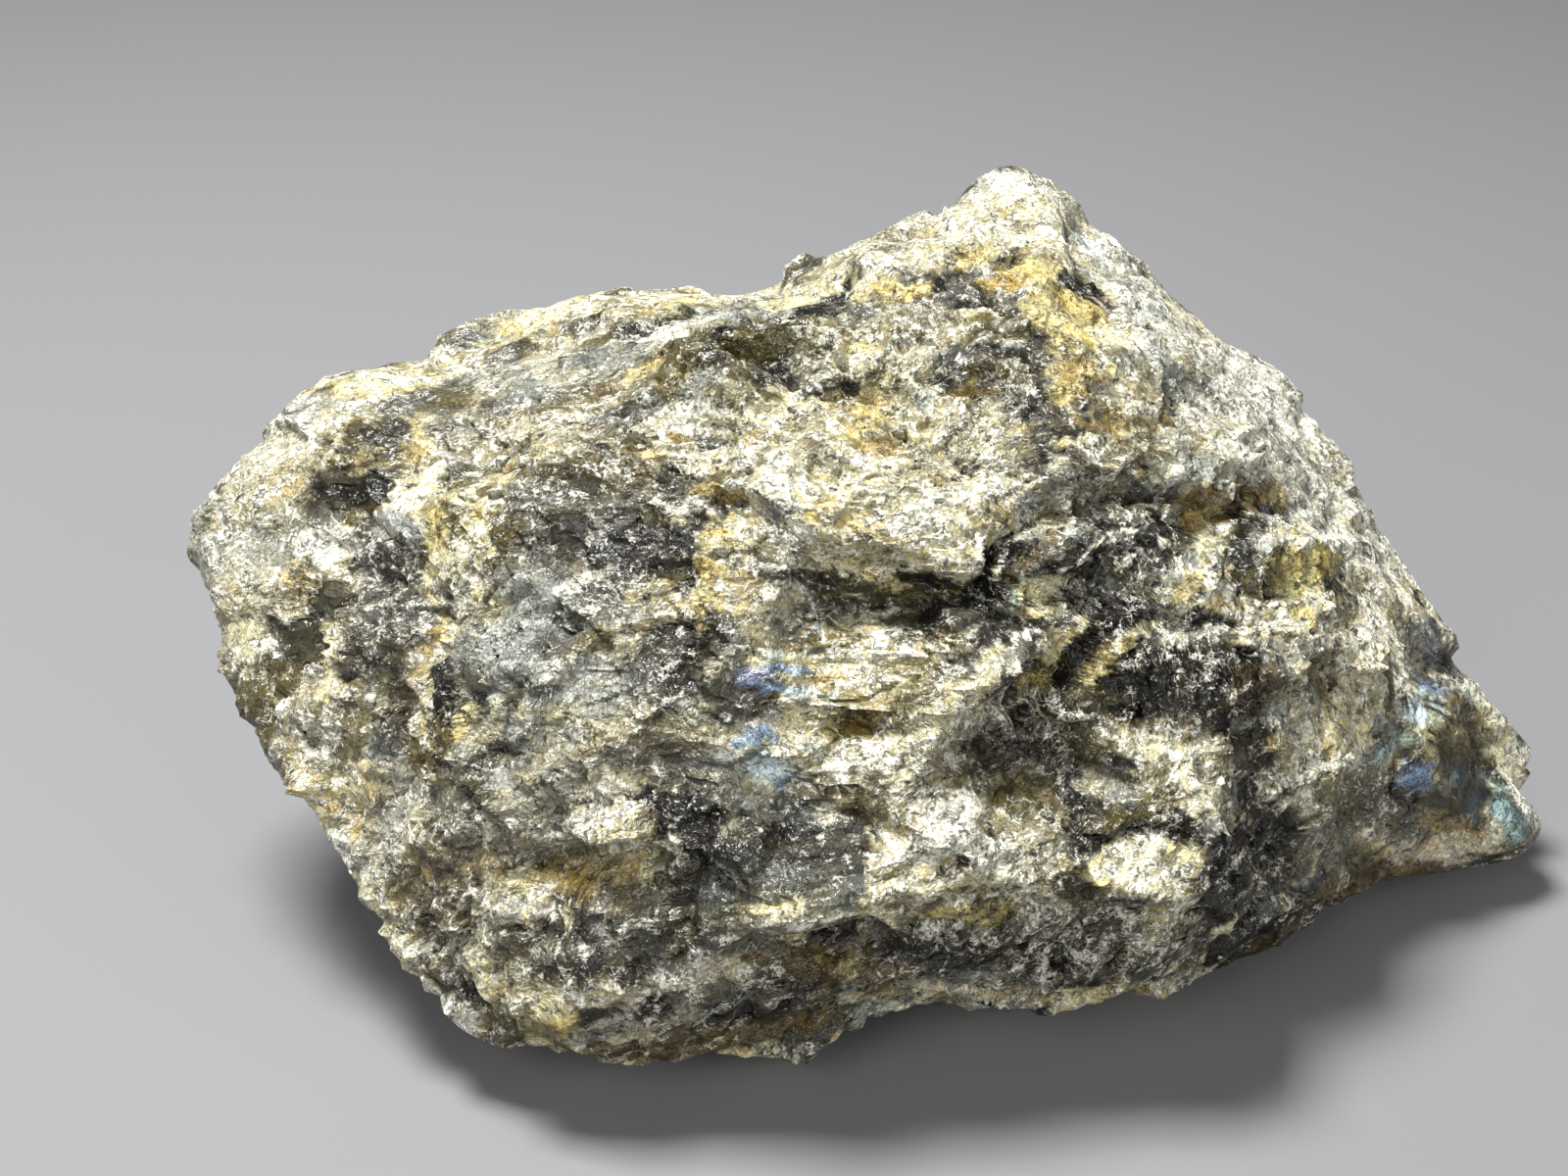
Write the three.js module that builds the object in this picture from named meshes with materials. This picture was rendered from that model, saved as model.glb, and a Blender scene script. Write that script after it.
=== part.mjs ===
// A rough lump of labradorite feldspar, a natural stone that sits on a broken face of its own.
//
// It is one solid. Its broad form is a cage of landmarks, the corners and swellings of the broken
// surface, joined by flat facets. Over the cage lie rounded edges, three sizes of chipped facet, and
// the hollows, slots and ridges that are named below. The foot is cut flat where the stone rests.
//
// Units are millimetres, +Z is up, and the origin is on the resting plane, under the middle of the
// stone. The broad face looks towards -Y and leans back.

import * as THREE from "three";
import { ConvexHull } from "three/addons/math/ConvexHull.js";
import { mergeVertices } from "three/addons/utils/BufferGeometryUtils.js";

// ---- Driving dimensions ------------------------------------------------------------------------

const FACE_RISE = THREE.MathUtils.degToRad(30); // how far above level the broad face looks
const HEART_HEIGHT = 25.5; // height of the face frame's origin above the resting plane
const HEART = [0, 4, 24]; // the point that every facet can be seen from, across, back and up
const FEATURE_REACH = 10; // depth through which a hollow or swelling of the face is felt
const MIDDLE = [1.8, 4.45]; // middle of the stone, which becomes the origin, across and back
const MESH_DETAIL = 20; // subdivisions of the icosahedron that the surface is drawn on
const FACE_FINENESS = 0.25; // lean of the triangulation that makes the broad face finer
const EDGE_ROUNDING = 0.035; // reach of the averaging that rounds the cage's edges, in radians

// Facets chipped into the surface: their width, the slope of their tilts, and whether neighbours
// meet in ridges (1) or in creases (-1).
const CHIPS = [
  { cell: 11, tilt: 0.2, meeting: 1, seed: 1 },
  { cell: 7.5, tilt: 0.22, meeting: -1, seed: 2 },
  { cell: 4.6, tilt: 0.25, meeting: 1, seed: 3 },
];
const CHIP_LIMIT = 0.12; // greatest height of a chip either way, as a share of its width
const RAGGEDNESS = 0.25; // how far the chips break up the rims of the hollows and swellings

// Landmarks in the face frame: across to the right, up the leaning face, and out of it.
const OUTLINE_TOP = [
  [-53, 6.5, -2], // left tip
  [-50.6, 12, -4],
  [-42.8, 21, -10], // upper left corner
  [-35, 21.7, -12],
  [-26.4, 25.2, -14],
  [-19.2, 27.4, -15],
  [-7.5, 28.5, -16],
  [1.5, 33, -14],
  [8.2, 36, -13],
  [11.8, 37.2, -12], // peak, a rounded knob
  [15.2, 36.6, -13],
  [19.5, 33, -15],
  [25, 27.5, -16],
  [34.6, 21.8, -16],
  [39.2, 16.6, -15],
  [41.4, 9.4, -12],
  [45.4, 4.3, -12],
  [48.8, -0.4, -12],
  [48.5, -3.5, -13], // nick above the nose
  [54.8, -8.2, -13],
  [58, -15.2, -12], // tip of the nose
];
const OUTLINE_FOOT = [
  [56.6, -18.4, -11],
  [49.5, -20, -10],
  [43.2, -21.2, -8],
  [38.4, -22.6, -5],
  [31.2, -25.4, -1],
  [24.3, -27.2, 4],
  [14.5, -27.4, 8],
  [3.5, -27.8, 10],
  [0, -28.2, 9],
  [-6.4, -30.4, 11],
  [-14, -31.8, 12], // lowest of the front rim
  [-20, -31.7, 12],
  [-28.2, -29.6, 12],
  [-33.4, -26.8, 10],
  [-37, -22, 8],
  [-40.2, -16.3, 6],
  [-44.4, -11.8, 4],
  [-47.4, -8.6, 2],
  [-49.8, -3, 0],
  [-51.5, 2, -1],
];
const BROW = [
  [-29.5, 16.3, 3],
  [-23.5, 17.6, 5],
  [-13.3, 21.7, 4],
  [-0.7, 25.2, 3],
  [9, 29.3, 0],
  [14.6, 25.6, 5],
  [19.7, 21.5, 6],
  [28.4, 20, -4],
];
const UPPER_FACE = [
  [-43.6, 12.8, 0],
  [-37.6, 14.7, 4],
  [-33, 8.6, 10],
  [-25.7, 9.7, 14],
  [-18, 12.5, 14],
  [-9.9, 16.3, 12],
  [0, 17, 12],
  [8.5, 19.8, 11],
  [16, 16.8, 13],
  [22.9, 15, 9],
  [30.4, 12.6, 3],
];
const MIDDLE_FACE = [
  [-43.7, 2.3, 3],
  [-36.8, 2.9, 8],
  [-30, 1.4, 14],
  [-21.6, 2.7, 19],
  [-12.8, 4.7, 19],
  [-5.4, 8.8, 18],
  [4, 5.4, 19],
  [12.3, 8.9, 16],
  [21.7, 8.4, 13],
  [30, 5, 9],
  [37.6, 3, 0],
];
const BELLY = [
  [-42.5, -5.9, 5],
  [-34.8, -7.1, 11],
  [-28.1, -6.2, 16],
  [-19.2, -6, 22],
  [-10, -4, 21],
  [-2, -1.4, 17.5],
  [7.4, -1.4, 19],
  [15, 0, 17],
  [23.5, -2.8, 16],
  [32.6, -4.3, 11],
  [38.7, -3.8, 2],
  [44, -3.9, -6],
];
const LOWER_FACE = [
  [-34, -16.2, 12],
  [-26.6, -14.4, 18],
  [-17.4, -14.7, 21],
  [-8, -12, 22],
  [1.3, -10.7, 21],
  [10.3, -8.9, 16],
  [17.3, -10.4, 15.5],
  [25.4, -10.3, 16],
  [33.5, -11.4, 10],
  [38, -14.2, 1],
  [44.2, -10.3, -9], // notch between the body and the nose
];
const CHIN = [
  [-27.6, -22.8, 16],
  [-19, -22.3, 20],
  [-9.3, -20, 21],
  [0, -18, 21.5],
  [10, -17.4, 21],
  [20.3, -17.6, 19],
  [27.4, -18.2, 13],
  [32, -19, 5],
];
const LOWER_RIM = [
  [-23.4, -27.5, 17],
  [-13.7, -27.3, 18],
  [-2.7, -24.7, 17],
  [8.3, -24.3, 15],
  [19, -24.4, 12],
];
const NOSE = [
  [48.3, -7.8, -7],
  [47.8, -13.9, -5],
  [43, -16.1, -4],
  [51.6, -12.5, -8],
];
// Hollows (negative height) and swellings on the broad face. Each row is its middle across, up and
// out, its half length and half width, its turn in degrees from level, and its height.
const FACE_FEATURES = [
  [-5.5, 19.3, 10, 6.2, 3, 8, -2.4], // bowl under the brow
  [-10, 17.2, 12, 3, 1.6, 15, 1.2], // boulder on the bowl's lip
  [9, 21, 9, 3.8, 2.2, 10, 1.6], // lens of stacked plates
  [8.5, 17.6, 12, 3.4, 1.2, 5, -1.2], // gap under the plates
  [-0.5, 21.8, 8, 2.2, 1.6, 20, -1.5], // glassy window beside them
  [12, 35.8, -10, 3.6, 2.6, -15, 1], // knob of the peak
  [-34, 12.2, 8, 3.2, 3, 80, -2.2], // pit with plates in it
  [-31, 10.5, 11, 1.3, 5.5, 5, 1], // rib beside the pit
  [-37, 1, 8, 2, 2.6, 0, -1.6], // pits of the left end
  [-40.5, -3, 4, 1.8, 2.4, 0, -1.5],
  [-31.5, -2, 12, 1.6, 6, 12, -1.4], // trough beside the belly
  [-27.5, -10, 17, 5, 1.2, -55, 1.2], // edge of the belly
  [3, 8.5, 18, 9, 3, 10, 1.6], // pale swelling
  [3.5, 2.2, 18, 7.5, 1.7, 8, -3], // undercut slot below it
  [14, 5.5, 17, 6, 1.6, 32, 1.4], // fold rising to the right of the slot
  [24.5, 8.6, 13, 3.6, 2.1, 0, -2.8], // amber hollow
  [24.2, 4.4, 15, 1.4, 2.6, 0, 1.4], // chip below it
  [31.5, 4.2, 9, 2.8, 2.8, 0, -1.4], // green window
  [15.2, -2.4, 18, 4.2, 1.1, 50, -2.4], // crack beside the black swelling
  [24.5, -3.2, 17, 4.2, 3.6, 0, 1.8], // black swelling
  [-0.5, -7, 20, 2.8, 1.1, 12, -1.8], // open crack
  [8.5, -2.8, 20, 6.5, 1.8, 35, 1.5], // crushed ridge above the great hollow
  [13, -10, 16, 7.5, 4, -8, -2.9], // great hollow
  [8, -8.2, 17, 3, 1.8, 30, -1], // its upper lobe
  [6.2, -14, 20, 5.2, 2.6, -30, 1.3], // crushed ridge below it
  [20.5, -17, 18, 5, 2.4, 5, 1.6], // crushed mass
  [8, -19.8, 18, 5, 1.2, 0, -1.4], // ledge's shadow below
  [-4.5, -18.6, 20, 6.5, 2.2, 6, 1.8], // plank
  [-4.5, -22.2, 18, 7, 1.3, 6, -1.6], // step under the plank
  [-19.5, -16.8, 19, 5, 1.7, 5, -2.6], // long slot
  [-18, -13.4, 20.5, 4, 1.3, 0, 1.4], // lip over the slot
  [34.5, -11, 9, 1.6, 5, -18, 1.4], // rib down to the rim
  [45.5, -6, -6, 1.2, 5, -28, -2.2], // groove between the body and the nose
  [41.8, -12.6, -5, 1.4, 4.6, -35, -2.2],
  [46.5, -12, -5, 1.2, 5, -20, 1.2], // ridge of the nose
];

// The same for the back, as middle across, back and up, radius, and height.
const BACK_FEATURES = [
  [-24, 33, 22, 9, -2.6],
  [-4, 40, 24, 8, 1.8],
  [20, 38, 30, 10, -2.4],
  [37, 28, 20, 7, 1.6],
  [8, 38, 10, 7, -2],
  [-36, 24, 16, 6, 1.5],
];

const FACE_LANDMARKS = [
  ...OUTLINE_TOP,
  ...OUTLINE_FOOT,
  ...BROW,
  ...UPPER_FACE,
  ...MIDDLE_FACE,
  ...BELLY,
  ...LOWER_FACE,
  ...CHIN,
  ...LOWER_RIM,
  ...NOSE,
];

// Landmarks of the back and the underside: across, back and up.
const BACK = [
  [-42, 20, 24],
  [-30, 30, 29],
  [-10, 36, 31],
  [12, 36, 40],
  [30, 33, 28],
  [41, 25, 20],
  [46, 16, 10],
  [33, 30, 10],
  [14, 37, 14],
  [-8, 35, 11],
  [-29, 28, 12],
  [-39, 15, 13],
];
const UNDERSIDE = [
  [-20, -14, -2],
  [8, -9, -2.5],
  [26, -3, -2.5],
  [36, 8, -2],
  [28, 22, -2],
  [6, 27, -2.5],
  [-16, 22, -2],
  [-30, 8, 1.5],
  [-32, -6, 4],
  [6, 8, -3],
];

// ---- Frames ------------------------------------------------------------------------------------

// A point given across, up the face and out of it, as across, back and up.
function fromFace([across, up, out]) {
  const back = up * Math.sin(FACE_RISE) - out * Math.cos(FACE_RISE);
  const height = up * Math.cos(FACE_RISE) + out * Math.sin(FACE_RISE);
  return new THREE.Vector3(across, back, height + HEART_HEIGHT);
}

// The other way round.
function toFace(point) {
  const height = point.z - HEART_HEIGHT;
  const up = point.y * Math.sin(FACE_RISE) + height * Math.cos(FACE_RISE);
  const out = height * Math.sin(FACE_RISE) - point.y * Math.cos(FACE_RISE);
  return [point.x, up, out];
}

const heart = new THREE.Vector3(...HEART);
const landmarks = [
  ...FACE_LANDMARKS.map(fromFace),
  ...[...BACK, ...UNDERSIDE].map((point) => new THREE.Vector3(...point)),
];

// ---- The cage of flat facets -------------------------------------------------------------------

// The facets join landmarks that are neighbours as seen from the heart: the hull of their directions.
function cageFacets() {
  const directions = landmarks.map((point) => point.clone().sub(heart).normalize());
  const hull = new ConvexHull().setFromPoints(directions);
  return hull.faces.map((face) => {
    const corners = [face.edge, face.edge.next, face.edge.prev].map((edge) =>
      landmarks[directions.indexOf(edge.head().point)].clone().sub(heart)
    );
    const [a, b, c] = corners;
    return new THREE.Matrix3().set(a.x, b.x, c.x, a.y, b.y, c.y, a.z, b.z, c.z).invert();
  });
}
const facets = cageFacets();

// Distance from the heart to the cage along a direction. In the facet that it crosses, the
// direction is a sum of the three corners with no negative share, and the radius is one over the sum.
function cageRadius(direction) {
  let best = -Infinity;
  let radius = 0;
  for (const facet of facets) {
    const share = direction.clone().applyMatrix3(facet);
    const least = Math.min(share.x, share.y, share.z);
    if (least > best) {
      best = least;
      radius = direction.length() / (share.x + share.y + share.z);
    }
  }
  return radius;
}

// The cage's radius averaged with six neighbours, which rounds its edges.
function roundedRadius(direction) {
  const steps = [
    [0, 0, 0],
    [1, 0, 0],
    [-1, 0, 0],
    [0, 1, 0],
    [0, -1, 0],
    [0, 0, 1],
    [0, 0, -1],
  ];
  const radii = steps.map((step) =>
    cageRadius(new THREE.Vector3(...step).multiplyScalar(EDGE_ROUNDING).add(direction))
  );
  return radii.reduce((sum, radius) => sum + radius) / steps.length;
}

// ---- Chipped facets ----------------------------------------------------------------------------

// A number from 0 to 1 that depends only on a lattice cell and a seed.
function cellNumber(i, j, k, seed) {
  const wave = Math.sin(i * 127.1 + j * 311.7 + k * 74.7 + seed * 53.3) * 43758.5453;
  return wave - Math.floor(wave);
}

// Height of a chipped surface: every jittered cell centre carries a flat facet with a tilt of its
// own, walled off beyond 0.85 of a cell, and the lowest facet shows, or the highest for creases.
function chipHeight(point, { cell, tilt, meeting, seed }) {
  const [i0, j0, k0] = point.toArray().map((value) => Math.floor(value / cell));
  let height = Infinity;
  for (let i = i0 - 1; i <= i0 + 1; i++)
    for (let j = j0 - 1; j <= j0 + 1; j++)
      for (let k = k0 - 1; k <= k0 + 1; k++) {
        const random = (n) => cellNumber(i, j, k, seed * 10 + n);
        const centre = new THREE.Vector3(i + random(0), j + random(1), k + random(2));
        const away = point.clone().sub(centre.multiplyScalar(cell));
        const slope = new THREE.Vector3(random(3) - 0.5, random(4) - 0.5, random(5) - 0.5);
        const wall = 8 * cell * Math.max(0, away.length() / cell - 0.85) ** 2;
        height = Math.min(height, 2 * tilt * away.dot(slope) + wall);
      }
  return THREE.MathUtils.clamp(height, -CHIP_LIMIT * cell, CHIP_LIMIT * cell) * meeting;
}

// ---- Hollows and swellings ---------------------------------------------------------------------

// Each one has a flat middle and bevelled sides that end at its rim, where the reach is 1.
function bevelled(reach, height) {
  return height * THREE.MathUtils.clamp(1.4 * (1 - reach), 0, 1);
}

function featureHeight(point, chips) {
  const [across, up, out] = toFace(point);
  let height = 0;
  for (const [x, y, z, halfLength, halfWidth, turn, rise] of FACE_FEATURES) {
    const angle = THREE.MathUtils.degToRad(turn);
    const along = (across - x) * Math.cos(angle) + (up - y) * Math.sin(angle);
    const aside = (up - y) * Math.cos(angle) - (across - x) * Math.sin(angle);
    const reach = Math.hypot(along / halfLength, aside / halfWidth, (out - z) / FEATURE_REACH);
    height += bevelled(reach + RAGGEDNESS * chips, rise);
  }
  for (const [x, y, z, radius, rise] of BACK_FEATURES)
    height += bevelled(point.distanceTo(new THREE.Vector3(x, y, z)) / radius, rise);
  return height;
}

// ---- The surface -------------------------------------------------------------------------------

// The point of the surface in a direction from the heart.
function surfacePoint(direction) {
  const base = direction.clone().multiplyScalar(roundedRadius(direction)).add(heart);
  const chips = CHIPS.reduce((sum, chip) => sum + chipHeight(base, chip), 0);
  const relief = chips + featureHeight(base, chips);
  const point = base.addScaledVector(direction, relief);
  if (point.z < 0) {
    const reach = heart.z / -direction.z;
    point.copy(direction).multiplyScalar(reach).add(heart).setZ(0);
  }
  return point;
}

function stoneGeometry() {
  const ball = new THREE.IcosahedronGeometry(1, MESH_DETAIL);
  ball.deleteAttribute("normal");
  ball.deleteAttribute("uv");
  const geometry = mergeVertices(ball, 1e-5);
  const position = geometry.attributes.position;
  const outOfFace = new THREE.Vector3(0, -Math.cos(FACE_RISE), Math.sin(FACE_RISE));
  for (let n = 0; n < position.count; n++) {
    const direction = new THREE.Vector3().fromBufferAttribute(position, n).normalize();
    const point = surfacePoint(direction.addScaledVector(outOfFace, FACE_FINENESS).normalize());
    position.setXYZ(n, point.x - MIDDLE[0], point.y - MIDDLE[1], point.z);
  }
  geometry.computeVertexNormals();
  return geometry;
}

const labradorite = new THREE.Mesh(
  stoneGeometry(),
  new THREE.MeshStandardMaterial({ color: 0x5a584e, roughness: 0.5, metalness: 0 })
);
labradorite.name = "labradorite";

const stone = new THREE.Group();
stone.add(labradorite);

export default stone;
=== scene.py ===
"""The looks of a rough lump of labradorite feldspar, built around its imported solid.

The visible stone repeats the solid's form on a much finer grid and adds broken blocks, pale crusts
and crushed edges. Its markings are the patches listed below, laid on the surface where the camera
sees them, and a mosaic of crystals that covers what they leave.

The lists of places and sizes are in millimetres, apart from the patches, which are placed in the
camera's picture. The face frame is across to the right, up the leaning broad face, and out of it.
Objects are in metres.
"""

import itertools
import math
from collections import namedtuple

import bmesh
import bpy
import numpy as np
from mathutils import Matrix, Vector


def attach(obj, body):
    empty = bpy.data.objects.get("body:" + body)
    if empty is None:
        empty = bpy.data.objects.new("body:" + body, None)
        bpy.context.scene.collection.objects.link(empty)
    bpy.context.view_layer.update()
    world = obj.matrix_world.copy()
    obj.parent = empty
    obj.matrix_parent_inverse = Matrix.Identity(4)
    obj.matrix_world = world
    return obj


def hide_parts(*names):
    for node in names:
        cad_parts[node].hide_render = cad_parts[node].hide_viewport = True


# ---- Driving dimensions ------------------------------------------------------------------------

MM = 0.001
FACE_RISE = math.radians(30)  # how far above level the broad face looks
HEART_HEIGHT = 25.5  # height of the face frame's origin above the floor
HEART = np.array([0.0, 4.0, 24.0])  # the point that the whole surface can be seen from
MIDDLE = np.array([1.8, 4.45, 0.0])  # middle of the stone, which is the frame's origin
EDGE_ROUNDING = 0.035  # reach of the averaging that rounds the cage's edges, in radians
FEATURE_REACH = 10.0  # depth through which a hollow or swelling is felt
FEATURE_STEEPNESS = 1.4  # of its sides: how many of its heights they would gain over its half width
CHIP_LIMIT = 0.12  # greatest height of a chip either way, as a share of its width
RAGGEDNESS = 0.25  # how far the chips break up the rims of the hollows and swellings

PICTURE = (1600, 1200)  # width and height of the camera's picture, in its own units
PICTURE_SCALE = 13.3  # of those units to a millimetre on the plane through the face frame's origin
VIEW_DISTANCE = 195.0  # from the camera to that plane
AIM = (-6.0, 3.0)  # point of that plane that the camera looks at, across and up
FILM_WIDTH = 36

GRID = 127  # squares along each side of the six grids
GRID_STRETCH = np.array([1.5, 1.0, 1.0])  # evens out the squares of the long stone
SHARP_ANGLE = math.radians(18)  # edges that bend more than this are drawn sharp
FACE_FINENESS = 0.42  # lean of the grids that makes the broad face finer
BATCH = 8192  # directions worked out at a time, which saves memory

# Landmarks of the broken surface in the face frame: across, up and out.
FACE_LANDMARKS = [
    # Upper outline, from the left tip over the peak to the nose
    (-53, 6.5, -2),  # left tip
    (-50.6, 12, -4),
    (-42.8, 21, -10),  # upper left corner
    (-35, 21.7, -12),
    (-26.4, 25.2, -14),
    (-19.2, 27.4, -15),
    (-7.5, 28.5, -16),
    (1.5, 33, -14),
    (8.2, 36, -13),
    (11.8, 37.2, -12),  # peak, a rounded knob
    (15.2, 36.6, -13),
    (19.5, 33, -15),
    (25, 27.5, -16),
    (34.6, 21.8, -16),
    (39.2, 16.6, -15),
    (41.4, 9.4, -12),
    (45.4, 4.3, -12),
    (48.8, -0.4, -12),
    (48.5, -3.5, -13),  # nick above the nose
    (54.8, -8.2, -13),
    (58, -15.2, -12),  # tip of the nose
    # Lower outline, back from the nose to the left end
    (56.6, -18.4, -11),
    (49.5, -20, -10),
    (43.2, -21.2, -8),
    (38.4, -22.6, -5),
    (31.2, -25.4, -1),
    (24.3, -27.2, 4),
    (14.5, -27.4, 8),
    (3.5, -27.8, 10),
    (0, -28.2, 9),
    (-6.4, -30.4, 11),
    (-14, -31.8, 12),  # lowest of the front rim
    (-20, -31.7, 12),
    (-28.2, -29.6, 12),
    (-33.4, -26.8, 10),
    (-37, -22, 8),
    (-40.2, -16.3, 6),
    (-44.4, -11.8, 4),
    (-47.4, -8.6, 2),
    (-49.8, -3, 0),
    (-51.5, 2, -1),
    # Brow
    (-29.5, 16.3, 3),
    (-23.5, 17.6, 5),
    (-13.3, 21.7, 4),
    (-0.7, 25.2, 3),
    (9, 29.3, 0),
    (14.6, 25.6, 5),
    (19.7, 21.5, 6),
    (28.4, 20, -4),
    # Upper face
    (-43.6, 12.8, 0),
    (-37.6, 14.7, 4),
    (-33, 8.6, 10),
    (-25.7, 9.7, 14),
    (-18, 12.5, 14),
    (-9.9, 16.3, 12),
    (0, 17, 12),
    (8.5, 19.8, 11),
    (16, 16.8, 13),
    (22.9, 15, 9),
    (30.4, 12.6, 3),
    # Middle of the face
    (-43.7, 2.3, 3),
    (-36.8, 2.9, 8),
    (-30, 1.4, 14),
    (-21.6, 2.7, 19),
    (-12.8, 4.7, 19),
    (-5.4, 8.8, 18),
    (4, 5.4, 19),
    (12.3, 8.9, 16),
    (21.7, 8.4, 13),
    (30, 5, 9),
    (37.6, 3, 0),
    # Belly
    (-42.5, -5.9, 5),
    (-34.8, -7.1, 11),
    (-28.1, -6.2, 16),
    (-19.2, -6, 22),
    (-10, -4, 21),
    (-2, -1.4, 17.5),
    (7.4, -1.4, 19),
    (15, 0, 17),
    (23.5, -2.8, 16),
    (32.6, -4.3, 11),
    (38.7, -3.8, 2),
    (44, -3.9, -6),
    # Lower face
    (-34, -16.2, 12),
    (-26.6, -14.4, 18),
    (-17.4, -14.7, 21),
    (-8, -12, 22),
    (1.3, -10.7, 21),
    (10.3, -8.9, 16),
    (17.3, -10.4, 15.5),
    (25.4, -10.3, 16),
    (33.5, -11.4, 10),
    (38, -14.2, 1),
    (44.2, -10.3, -9),  # notch between the body and the nose
    # Chin
    (-27.6, -22.8, 16),
    (-19, -22.3, 20),
    (-9.3, -20, 21),
    (0, -18, 21.5),
    (10, -17.4, 21),
    (20.3, -17.6, 19),
    (27.4, -18.2, 13),
    (32, -19, 5),
    # Lower rim
    (-23.4, -27.5, 17),
    (-13.7, -27.3, 18),
    (-2.7, -24.7, 17),
    (8.3, -24.3, 15),
    (19, -24.4, 12),
    # Nose
    (48.3, -7.8, -7),
    (47.8, -13.9, -5),
    (43, -16.1, -4),
    (51.6, -12.5, -8),
]

# Landmarks of the back and the underside: across, back and up.
BACK_LANDMARKS = [
    (-42, 20, 24),
    (-30, 30, 29),
    (-10, 36, 31),
    (12, 36, 40),
    (30, 33, 28),
    (41, 25, 20),
    (46, 16, 10),
    (33, 30, 10),
    (14, 37, 14),
    (-8, 35, 11),
    (-29, 28, 12),
    (-39, 15, 13),
    (-20, -14, -2),
    (8, -9, -2.5),
    (26, -3, -2.5),
    (36, 8, -2),
    (28, 22, -2),
    (6, 27, -2.5),
    (-16, 22, -2),
    (-30, 8, 1.5),
    (-32, -6, 4),
    (6, 8, -3),
]

# Hollows (negative height) and swellings of the broad face: middle across, up and out, half length,
# half width, turn in degrees from level, and height.
FACE_FEATURES = [
    (-5.5, 19.3, 10, 6.2, 3, 8, -2.4),  # bowl under the brow
    (-10, 17.2, 12, 3, 1.6, 15, 1.2),  # boulder on the bowl's lip
    (9, 21, 9, 3.8, 2.2, 10, 1.6),  # lens of stacked plates
    (8.5, 17.6, 12, 3.4, 1.2, 5, -1.2),  # gap under the plates
    (-0.5, 21.8, 8, 2.2, 1.6, 20, -1.5),  # glassy window beside them
    (12, 35.8, -10, 3.6, 2.6, -15, 1),  # knob of the peak
    (-34, 12.2, 8, 3.2, 3, 80, -2.2),  # pit with plates in it
    (-31, 10.5, 11, 1.3, 5.5, 5, 1),  # rib beside the pit
    (-37, 1, 8, 2, 2.6, 0, -1.6),  # pits of the left end
    (-40.5, -3, 4, 1.8, 2.4, 0, -1.5),
    (-31.5, -2, 12, 1.6, 6, 12, -1.4),  # trough beside the belly
    (-27.5, -10, 17, 5, 1.2, -55, 1.2),  # edge of the belly
    (3, 8.5, 18, 9, 3, 10, 1.6),  # pale swelling
    (3.5, 2.2, 18, 7.5, 1.7, 8, -3),  # undercut slot below it
    (14, 5.5, 17, 6, 1.6, 32, 1.4),  # fold rising to the right of the slot
    (24.5, 8.6, 13, 3.6, 2.1, 0, -2.8),  # amber hollow
    (24.2, 4.4, 15, 1.4, 2.6, 0, 1.4),  # chip below it
    (31.5, 4.2, 9, 2.8, 2.8, 0, -1.4),  # green window
    (15.2, -2.4, 18, 4.2, 1.1, 50, -2.4),  # crack beside the black swelling
    (24.5, -3.2, 17, 4.2, 3.6, 0, 1.8),  # black swelling
    (-0.5, -7, 20, 2.8, 1.1, 12, -1.8),  # open crack
    (8.5, -2.8, 20, 6.5, 1.8, 35, 1.5),  # crushed ridge above the great hollow
    (13, -10, 16, 7.5, 4, -8, -2.9),  # great hollow
    (8, -8.2, 17, 3, 1.8, 30, -1),  # its upper lobe
    (6.2, -14, 20, 5.2, 2.6, -30, 1.3),  # crushed ridge below it
    (20.5, -17, 18, 5, 2.4, 5, 1.6),  # crushed mass
    (8, -19.8, 18, 5, 1.2, 0, -1.4),  # ledge's shadow below
    (-4.5, -18.6, 20, 6.5, 2.2, 6, 1.8),  # plank
    (-4.5, -22.2, 18, 7, 1.3, 6, -1.6),  # step under the plank
    (-19.5, -16.8, 19, 5, 1.7, 5, -2.6),  # long slot
    (-18, -13.4, 20.5, 4, 1.3, 0, 1.4),  # lip over the slot
    (34.5, -11, 9, 1.6, 5, -18, 1.4),  # rib down to the rim
    (45.5, -6, -6, 1.2, 5, -28, -2.2),  # groove between the body and the nose
    (41.8, -12.6, -5, 1.4, 4.6, -35, -2.2),
    (46.5, -12, -5, 1.2, 5, -20, 1.2),  # ridge of the nose
]

# The same for the back: middle across, back and up, radius, and height.
BACK_FEATURES = [
    (-24, 33, 22, 9, -2.6),
    (-4, 40, 24, 8, 1.8),
    (20, 38, 30, 10, -2.4),
    (37, 28, 20, 7, 1.6),
    (8, 38, 10, 7, -2),
    (-36, 24, 16, 6, 1.5),
]

# Facets chipped into the surface: width, slope of the tilts, 1 where neighbours meet in ridges or
# -1 where they meet in creases, and seed.
CHIPS = [
    (11, 0.2, 1, 1),
    (7.5, 0.22, -1, 2),
    (4.6, 0.25, 1, 3),
]

# Broken blocks finer than the solid's own chips: width, how much they are squeezed across the layers,
# slope of their tilts, height of the steps between them, and seed.
BLOCKS = [
    (3.4, 0.5, 0.2, 0.25, 4),
    (1.7, 0.9, 0.2, 0.12, 5),
]
CRUST_HEIGHT = 0.25  # how far the palest crusts stand above the black glass
RIM_WEAR = 0.95  # share of the fine relief that is worn away all round the broad face

# ---- Tones of the stone ------------------------------------------------------------------------

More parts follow.
